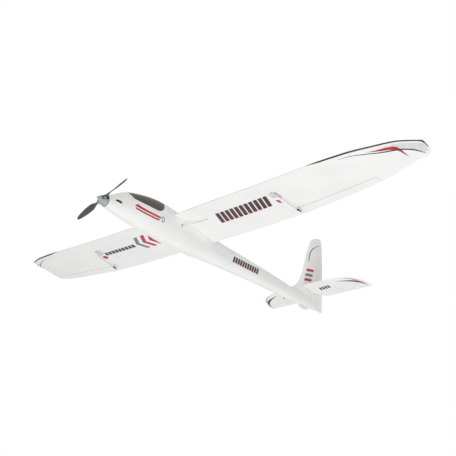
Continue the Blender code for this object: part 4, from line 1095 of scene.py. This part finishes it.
def make_wing_graphics():
    tip_line = ((694, 322), (735, 332.5), (778, 357), (816, 387), (845, 417.5), (865, 446.5), (876, 471.5),
                (882.5, 491))
    edge_band = [(596, -0.02), (640, -0.11), (720, -0.13), (800, -0.14), (850, -0.15), (880, -0.17),
                 (889, -0.20), (894, -0.32), (895.8, -0.6), (896.2, -0.92), (898, -0.92), (898, 0.92),
                 (896.2, 0.92), (895.8, 0.6), (894, 0.36), (889, 0.28), (880, 0.25), (850, 0.25), (800, 0.22),
                 (720, 0.17), (640, 0.10), (596, 0.02)]
    for label, side in SIDES:
        red, black = [], []
        for upper in (False, True):
            skin = wing_skin(side, upper)
            red.append((skin, (5, 3), [TIP_RED]))
            black.append((skin, (5, 3), [stroke(tip_line, (0.8, 3.4, 3.8, 0.8), 60)]))
        black.append((wing_nose(side), (5, 0.03), [edge_band]))
        # painted shade: a pale grey film laid under the tip where the curved tip falls into shade
        painted_shade_layer = (wing_skin(side, False), (4, 3), [PAINTED_TIP_SHADE])
        film_piece("wing_tip_painted_shade_" + label, "airframe", PAINTED_SHADE_FILM, [painted_shade_layer], 0.10)
        film_piece("wing_tip_stripes_" + label, "airframe", RED_FILM, red, 0.16)
        film_piece("wing_edge_lines_" + label, "airframe", BLACK_FILM, black, 0.21)
    under = wing_skin(PORT, False)
    run = (149.2, 405.3), (229.0, -4.2), (20.2, -54.2)
    black, shade = slanted(*run, BLOCK), slanted(*run, shifted(BLOCK, 0.010, -0.035))
    flag = [(401, 383), (413.5, 386), (412, 405), (403, 400)]
    film_piece("port_bars_shade", "airframe", RED_FILM, [(under, (8, 5), shade), (under, (8, 5), [flag])])
    film_piece("port_bars", "airframe", BLACK_FILM, [(under, (8, 5), black)], FILM_OVER)
    under = wing_skin(STARBOARD, False)
    chevron = ((0, 336), (17, 336), (42, 374), (24, 412), (7, 412), (25, 374))
    chevrons = [[(start + x, y) for x, y in chevron] for start in (128, 162, 196)]
    diamond = [(416, 384), (421, 382), (437, 384), (436, 402), (431, 403), (415, 400)]
    film_piece("starboard_chevrons_red", "airframe", RED_FILM, [(under, (8, 5), [*chevrons[:2], diamond])])
    film_piece("starboard_chevron_grey", "airframe", GREY_FILM, [(under, (8, 5), chevrons[2:])])
    dashes = slanted((409.0, 385.0), (-160.0, 1.0), (-4.0, -18.0), even_bars(9, 0.80))
    film_piece("starboard_dashes", "airframe", BLACK_FILM, [(under, (8, 5), dashes)])


def make_tail_graphics():
    fin_arc = ((1012.6, 145), (1013.6, 165), (1017.5, 183), (1030.5, 205), (1048.4, 220.4))
    rudder_arc = ((1054.0, 224.0), (1062, 229.0), (1073.5, 234.6))
    bars = slanted((992, 64), (40, 8), (4, 18), [(0, 1, 1.15 * k, 1.15 * k + 0.62) for k in range(3)])
    grey = [stroke(fin_arc, (2.4, 4.8, 4.4, 3.6), 40), bars[1]]
    line = [stroke(rudder_arc, (3.6, 2.8, 0.9), 16)]
    film_piece("fin_marks_red", "airframe", RED_FILM, on_both_sides(fin_skin, (4, 4), [bars[0], bars[2]]))
    film_piece("fin_marks_grey", "airframe", GREY_FILM, on_both_sides(fin_skin, (4, 4), grey))
    film_piece("rudder_line", "rudder", GREY_FILM, on_both_sides(fin_skin, (4, 4), line))
    block = slanted((47.5, 1042.5), (51.0, -2.5), (3.5, -19.5), even_bars(4, 0.72))
    film_piece("tailplane_bars", "airframe", BLACK_FILM,
               [(stab_skin(PORT, False), (8, 4), block),
                (stab_skin(STARBOARD, False), (8, 4), [disc_outline((129.5, 1036.5), 3.6)])])
    swoosh = ((143, 1007.5), (175, 1020), (200, 1031), (213, 1042), (225, 1060), (232.5, 1084))
    edge = ((176, 1004.2), (197, 1013.5), (213, 1029.0), (226, 1048), (235.5, 1070))
    skins = [stab_skin(side, upper) for _, side in SIDES for upper in (False, True)]
    red, dark = [stroke(edge, (0.8, 2.4, 0.8), 40)], [stroke(swoosh, (0.8, 10.0, 1.0), 48)]
    film_piece("tailplane_edge_lines", "airframe", RED_FILM, [(skin, (6, 3), red) for skin in skins])
    film_piece("tailplane_swooshes", "airframe", DARK_FILM, [(skin, (6, 3), dark) for skin in skins])


make_fuselage_graphics()
make_wing_graphics()
make_tail_graphics()

# ---------------------------------------------------------------- drive

HUB_Y, PIN_X, PIN_RADIUS, BLADE_TIP = 22.0, 16.0, 1.2, 120.0
BLADE_TURN = Matrix.Rotation(-math.radians(19), 4, "Y")
SPINNER_LENGTH, SPINNER_RADIUS, SPINNER_WALL, SPINNER_CURVE = 36.0, 19.5, 1.4, 1.45
COILS, COIL_CIRCLE, SCREW_CIRCLE = 9, 11.25, 8.6


def on_hub(piece, turn=BLADE_TURN):
    """Turns a piece built with the blades level about the shaft, to the hub's resting angle."""
    centre = Matrix.Translation(place(0, 0, 0))
    piece.data.transform(centre @ turn @ centre.inverted())


def turned(name, profile, finish=None, sides=72):
    """A solid through circles of (radius, y) round the shaft."""
    rings = [[(max(r, 0.04) * math.cos(a), y, max(r, 0.04) * math.sin(a))
              for a in (2 * math.pi * k / sides for k in range(sides))] for r, y in profile]
    return loft(name, rings, finish)


def spinner_radius(along):
    return SPINNER_RADIUS * (1 - (1 - along / SPINNER_LENGTH) ** SPINNER_CURVE)


def make_spinner():
    outside = [(spinner_radius(a), a) for a in (SPINNER_LENGTH * (i / 26) ** 1.5 for i in range(27))]
    outside[-1:] = [(SPINNER_RADIUS - 0.06, SPINNER_LENGTH - 0.35), (SPINNER_RADIUS - 0.4, SPINNER_LENGTH)]
    inside = [(spinner_radius(a) - SPINNER_WALL, a) for a in np.linspace(6.0, SPINNER_LENGTH, 16)]
    spinner = turned("spinner_shell", outside, GREY_PLASTIC)
    slot = box("slot", (-40, 13.5, -7.2), (40, 60, 7.2), bevel=4.0, segments=5)
    on_hub(slot)
    carve(spinner, [turned("hollow", [*inside, (inside[-1][0], SPINNER_LENGTH + 2)], sides=48), slot])
    stands_for(spinner, "drive", "grey_plastic", "spinner")


def blade_ring(s, across, thick, pitch, foil_share, points=28):
    """A blade section: a rounded tang near the pin, a twisted and cambered foil further out."""
    ring = []
    for i in range(points):
        turn = 2 * math.pi * i / points
        c, u = math.cos(turn), math.sin(turn)
        square = (math.copysign(abs(c) ** 0.55, c), math.copysign(abs(u) ** 0.55, u))
        foiled = (c, u * (1 + 0.34 * c))
        c = square[0] + (foiled[0] - square[0]) * foil_share
        u = square[1] + (foiled[1] - square[1]) * foil_share
        chordwise = across / 2 * c
        up = thick / 2 * u - foil_share * 0.05 * across * (1 - c * c)
        z = chordwise * math.cos(pitch) - up * math.sin(pitch)
        y = chordwise * math.sin(pitch) + up * math.cos(pitch)
        ring.append((PIN_X + s, HUB_Y + y, z))
    return ring


def make_blades():
    reach = BLADE_TIP - PIN_X
    across_at = smooth_line(((0, 6.1), (9, 6.1), (13, 8.0), (20, 14.5), (32, 19.4), (58, 20.6), (84, 16.2),
                             (98, 11.4), (104, 8.0)))
    thick_at = smooth_line(((0, 6.9), (9, 7.2), (13, 6.2), (20, 4.2), (32, 3.0), (60, 2.2), (104, 1.1)))
    pitch_at = smooth_line(((0, 0), (9, 4), (20, 26), (32, 42), (60, 28), (104, 16)))
    stations = spread((-5.5, 8, 1.5), (8, 34, 2), (34, 96, 4), (96, reach, 0.8))
    for label, side in SIDES:
        rings = []
        for s in stations:
            tip = round_end(reach + 0.05 - s, 7.0) if s > 90 else 1.0
            heel = round_end(s + 5.55, 2.2) if s < 0 else 1.0
            share = min(max((s - 9) / 18, 0.0), 1.0)
            at = max(s, 0.0)
            rings.append(blade_ring(s, across_at(at) * tip * heel, thick_at(at) * (0.4 + 0.6 * tip) * heel,
                                    math.radians(pitch_at(at)), share))
        blade = loft("blade_" + label, rings, BLADE_PLASTIC)
        carve(blade, [rod("bore", (PIN_X, HUB_Y, -9), (PIN_X, HUB_Y, 9), PIN_RADIUS + GAP)])
        if side == STARBOARD:
            on_hub(blade, Matrix.Rotation(math.pi, 4, "Y"))
        on_hub(blade)
        stands_for(blade, "blade_" + label, "grey_plastic", "propeller_blade_" + label)


def fitting(name, body, start, end, radius, bevel):
    """A round steel screw or pin head."""
    head = rod(name, start, end, radius, STEEL, 20, bevel=bevel)
    stands_for(head, body, "steel_wire")
    return head


def make_drive_details():
    """Heads on the blade pins, the shaft's nut, the motor's coils and the bulkhead's screws."""
    for label, side in SIDES:
        for up, level in (("upper", 6.4), ("lower", -6.4)):
            below, above = level - math.copysign(0.25, level), level + math.copysign(0.35, level)
            on_hub(fitting("pin_head_%s_%s" % (label, up), "drive", (PIN_X * side, HUB_Y, below),
                           (PIN_X * side, HUB_Y, above), 1.9, 0.15))
    nut = rod("shaft_nut", (0, 14.0, 0), (0, 15.9, 0), 3.4, BRASS, 6, bevel=0.2)
    carve(nut, [rod("nut_bore", (0, 10, 0), (0, 20, 0), 2.02, sides=24)])
    stands_for(nut, "drive", "steel_wire")
    for k in range(COILS):
        turn = 2 * math.pi * (k + 0.5) / COILS
        x, z = COIL_CIRCLE * math.cos(turn), COIL_CIRCLE * math.sin(turn)
        coil = tube("motor_coil_%d" % k, [(x, y, z) for y in (48.8, 52, 56, 60, 63.2)], 0.75, COPPER, 10)
        stands_for(coil, "airframe", "copper_winding")
    for k in range(4):
        turn = math.pi / 4 + math.pi / 2 * k
        x, z = SCREW_CIRCLE * math.cos(turn), SCREW_CIRCLE * math.sin(turn)
        fitting("bulkhead_screw_%d" % k, "airframe", (x, 37.6, z), (x, 38.6, z), 1.7, 0.3)


make_spinner()
make_blades()
make_drive_details()


# ---------------------------------------------------------------- equipment details

SERVO_LONG, SERVO_TALL, SERVO_SHAFT, TRAY_FLOOR = 22.8, 22.4, 6.0, -13.7
LUG_OVERHANG, LUG_HEIGHT, ARM_THICK = 2.3, 17.2, 1.8


def wire(name, route, count, radius, finish, sides=14):
    """An insulated lead inside the fuselage."""
    stands_for(tube(name, smooth_path(route, count), radius, finish, sides), "airframe", "lead_cover")


def servo_details(name, corner, shaft_axis, arm_body):
    """Two lug screws, the arm's hub cap and its screw on one servo that lies along y."""
    base, along, up = Vector(corner), Vector((0, 1, 0)), Vector(shaft_axis)
    for k, away in enumerate((LUG_OVERHANG, -SERVO_LONG - LUG_OVERHANG)):
        head = base + along * away + up * LUG_HEIGHT
        fitting("%s_screw_%d" % (name, k), "airframe", head - up * 0.1, head + up * 1.1, 1.9, 0.35)
    top = base - along * SERVO_SHAFT + up * (SERVO_TALL + 3.0 + GAP + ARM_THICK)
    cap = rod(name + "_arm_hub", top - up * 0.1, top + up * 0.9, 2.9, WHITE_PLASTIC, 24, bevel=0.3)
    stands_for(cap, arm_body, "white_plastic")
    fitting(name + "_arm_screw", arm_body, top + up * 0.8, top + up * 1.5, 1.5, 0.3)


# the horns of the rudder and ailerons move sideways on their slanted hinges, so those forks are wider
EVEN_FORK, RUDDER_FORK, AILERON_FORK = (1.15, 1.15), (1.9, 1.15), (1.9, 1.3)
FORK_ENDS, FORK_HALF_HEIGHT, FORK_THICK = (2.4, -9.5), 1.2, 0.9
COLLAR_ENDS, COLLAR_RADIUS = (-15.0, -8.5), 2.9


def clevis(name, body, tip, along, thin, offset, gaps):
    """A small fork on the end of a pushrod, its two arms on either side of the horn.

    The gaps are from the horn's middle to the inner face of each arm, against thin and along it."""
    along, thin = Vector(along).normalized(), Vector(thin).normalized()
    over, tip, pieces = along.cross(thin), Vector(tip), []
    for k, gap in zip((-1, 1), gaps):
        inner = tip + thin * (gap * k)
        bm = bmesh.new()
        corners = []
        for a in FORK_ENDS:
            for o in (-FORK_HALF_HEIGHT, FORK_HALF_HEIGHT):
                for t in (0.0, FORK_THICK * k):
                    corners.append(bm.verts.new(place(*(inner + along * a + over * o + thin * t))))
        bmesh.ops.convex_hull(bm, input=corners)
        bmesh.ops.bevel(bm, geom=bm.edges[:], offset=0.25 * MM, segments=2, profile=0.5, affect="EDGES")
        pieces.append(finish_mesh(name + "_arm", bm, BLACK_PLASTIC))
    heart = tip + thin * offset / 2
    back, front = (heart + along * a for a in COLLAR_ENDS)
    collar = rod(name, back, front, COLLAR_RADIUS, BLACK_PLASTIC, 20, bevel=0.4)
    carve(collar, unions=pieces)
    stands_for(collar, body, "black_plastic")


def make_equipment_details():
    for control, x in (("elevator", -12.0), ("rudder", 6.0)):
        servo_details(control + "_servo", (x, 272.0, TRAY_FLOOR), (0, 0, 1), control + "_arm")
    for label, side in SIDES:
        corner = (404.4 * side, 367.4, wing_height(*SERVO_SPOT, False) + 6.2)
        servo_details("aileron_servo_" + label, corner, (side, 0, 0), "aileron_arm_" + label)
        foot = min(wing_height(442.2, y, False) for y in (453, 465)) - GAP
        tip = (442.2 * side, 459.0, foot - 10.4)
        axle = (429.8 * side, 361.4, corner[2])
        clevis("aileron_clevis_" + label, "aileron_pushrod_" + label, tip,
               (6.0 * side, tip[1] - axle[1], tip[2] - axle[2] + 13.0), (side, 0, 0), -2.2, AILERON_FORK)
    tail_ends = (("elevator", ELEVATOR_ROUTE, (-24.4, 1067, 23.8), (1, 0, 0), 2.4, EVEN_FORK),
                 ("rudder", RUDDER_ROUTE, (-15.6, 1082, -4.0), (0, 0, 1), -2.3, RUDDER_FORK))
    for control, route, tip, thin, offset, gaps in tail_ends:
        path = smooth_path(route, 60)
        clevis(control + "_clevis", control + "_pushrod", tip, path[-1] - path[-4], thin, offset, gaps)
    battery = [((-9, 132.5, 4), (-9, 128.5, 5.5), (-7, 122, 8), (-4, 116, 5), (-3.4, 112, 2)),
               ((-5, 132.5, 4), (-5, 128.5, 6), (-3, 122, 9), (0.4, 116, 6), (0.9, 112, 2))]
    for route, finish, colour in zip(battery, (RED_COVER, BLACK_COVER), ("red", "black")):
        wire("battery_lead_" + colour, route, 30, 1.3, finish)
    plug = box("battery_connector", (-6.4, 102.0, -2.4), (3.9, 112.6, 4.6), CONNECTOR, 0.9, 3)
    stands_for(plug, "airframe", "lead_cover")
    for k, finish in enumerate((RED_COVER, BLACK_COVER)):
        x = -3.4 + 4.3 * k
        route = ((x, 102.6, 1.2), (x, 98, 1.6), (x * 0.9, 93, -0.8), (x * 0.9, 90, -4.6))
        wire("controller_lead_%d" % k, route, 20, 1.2, finish)
    for k, x in enumerate((-4.2, 0.0, 4.2)):
        route = ((x, 86.6, -9.6), (x, 82, -9.0), (x * 1.1, 77, -6.5), (x * 1.3, 73.6, -4.0 + abs(x) * 0.3),
                 (x * 1.4, 71.4, -4.2 + abs(x) * 0.3))
        wire("motor_wire_%d" % k, route, 24, 0.9, BLACK_COVER, 12)
    for k, (x, away) in enumerate(((-12.0, -4.0), (6.0, 4.0))):
        for strand, finish in enumerate((BROWN_COVER, RED_COVER, YELLOW_COVER)):
            off = (strand - 1) * 1.1
            route = ((x + off, 271.8, -10.0), (x + off, 276, -10.4), (x * 0.8 + off, 284, -11.9),
                     (away + off, 292, -11.9), (away + off, 297, -9.6), (away + off, 300.4, -8.4))
            wire("servo_lead_%d_%d" % (k, strand), route, 30, 0.55, finish, 10)
    buckle = box("strap_buckle", (-19.6, 177, -1.0), (-18.7, 191, 8.0), BLACK_PLASTIC, 0.35, 2)
    stands_for(buckle, "airframe", "strap_weave")


make_equipment_details()


# ---------------------------------------------------------------- carried-over pieces

def dress(finish, *names):
    """Gives CAD pieces that are shown as they are one material all over."""
    for name in names:
        materials = NODES[name].data.materials
        if len(materials) == 0:
            materials.append(None)
        for i in range(len(materials)):
            materials[i] = finish


def both(*names):
    return [name + "_" + label for name in names for label, _ in SIDES]


dress(CARBON, "wing_joiner")
dress(BLACK_PLASTIC, *both("wing_root_rib", "canopy_clip", "canopy_spigot"), "spinner_back_plate")
dress(WHITE_PLASTIC, "tail_skid", "receiver", "elevator_arm", "rudder_arm", "elevator_horn", "rudder_horn",
      "elevator_sleeve", "rudder_sleeve", *both("aileron_arm", "aileron_horn"))
dress(SERVO_PLASTIC, "elevator_servo", "rudder_servo")
dress(PALE_SERVO, *both("aileron_servo"))
dress(BATTERY_FILM, "flight_battery")
dress(ESC_FILM, "speed_controller")
dress(STRAP, "battery_strap")
dress(LEAD_COVER, *both("aileron_lead"))
dress(STEEL, *both("blade_pin", "aileron_pushrod"), "motor_shaft", "elevator_joiner", "elevator_pushrod",
      "rudder_pushrod")
dress(ALUMINIUM, "propeller_yoke", "motor_bell")
dress(COPPER, "motor_stator")
dress(WOOD, "motor_bulkhead", "equipment_tray")
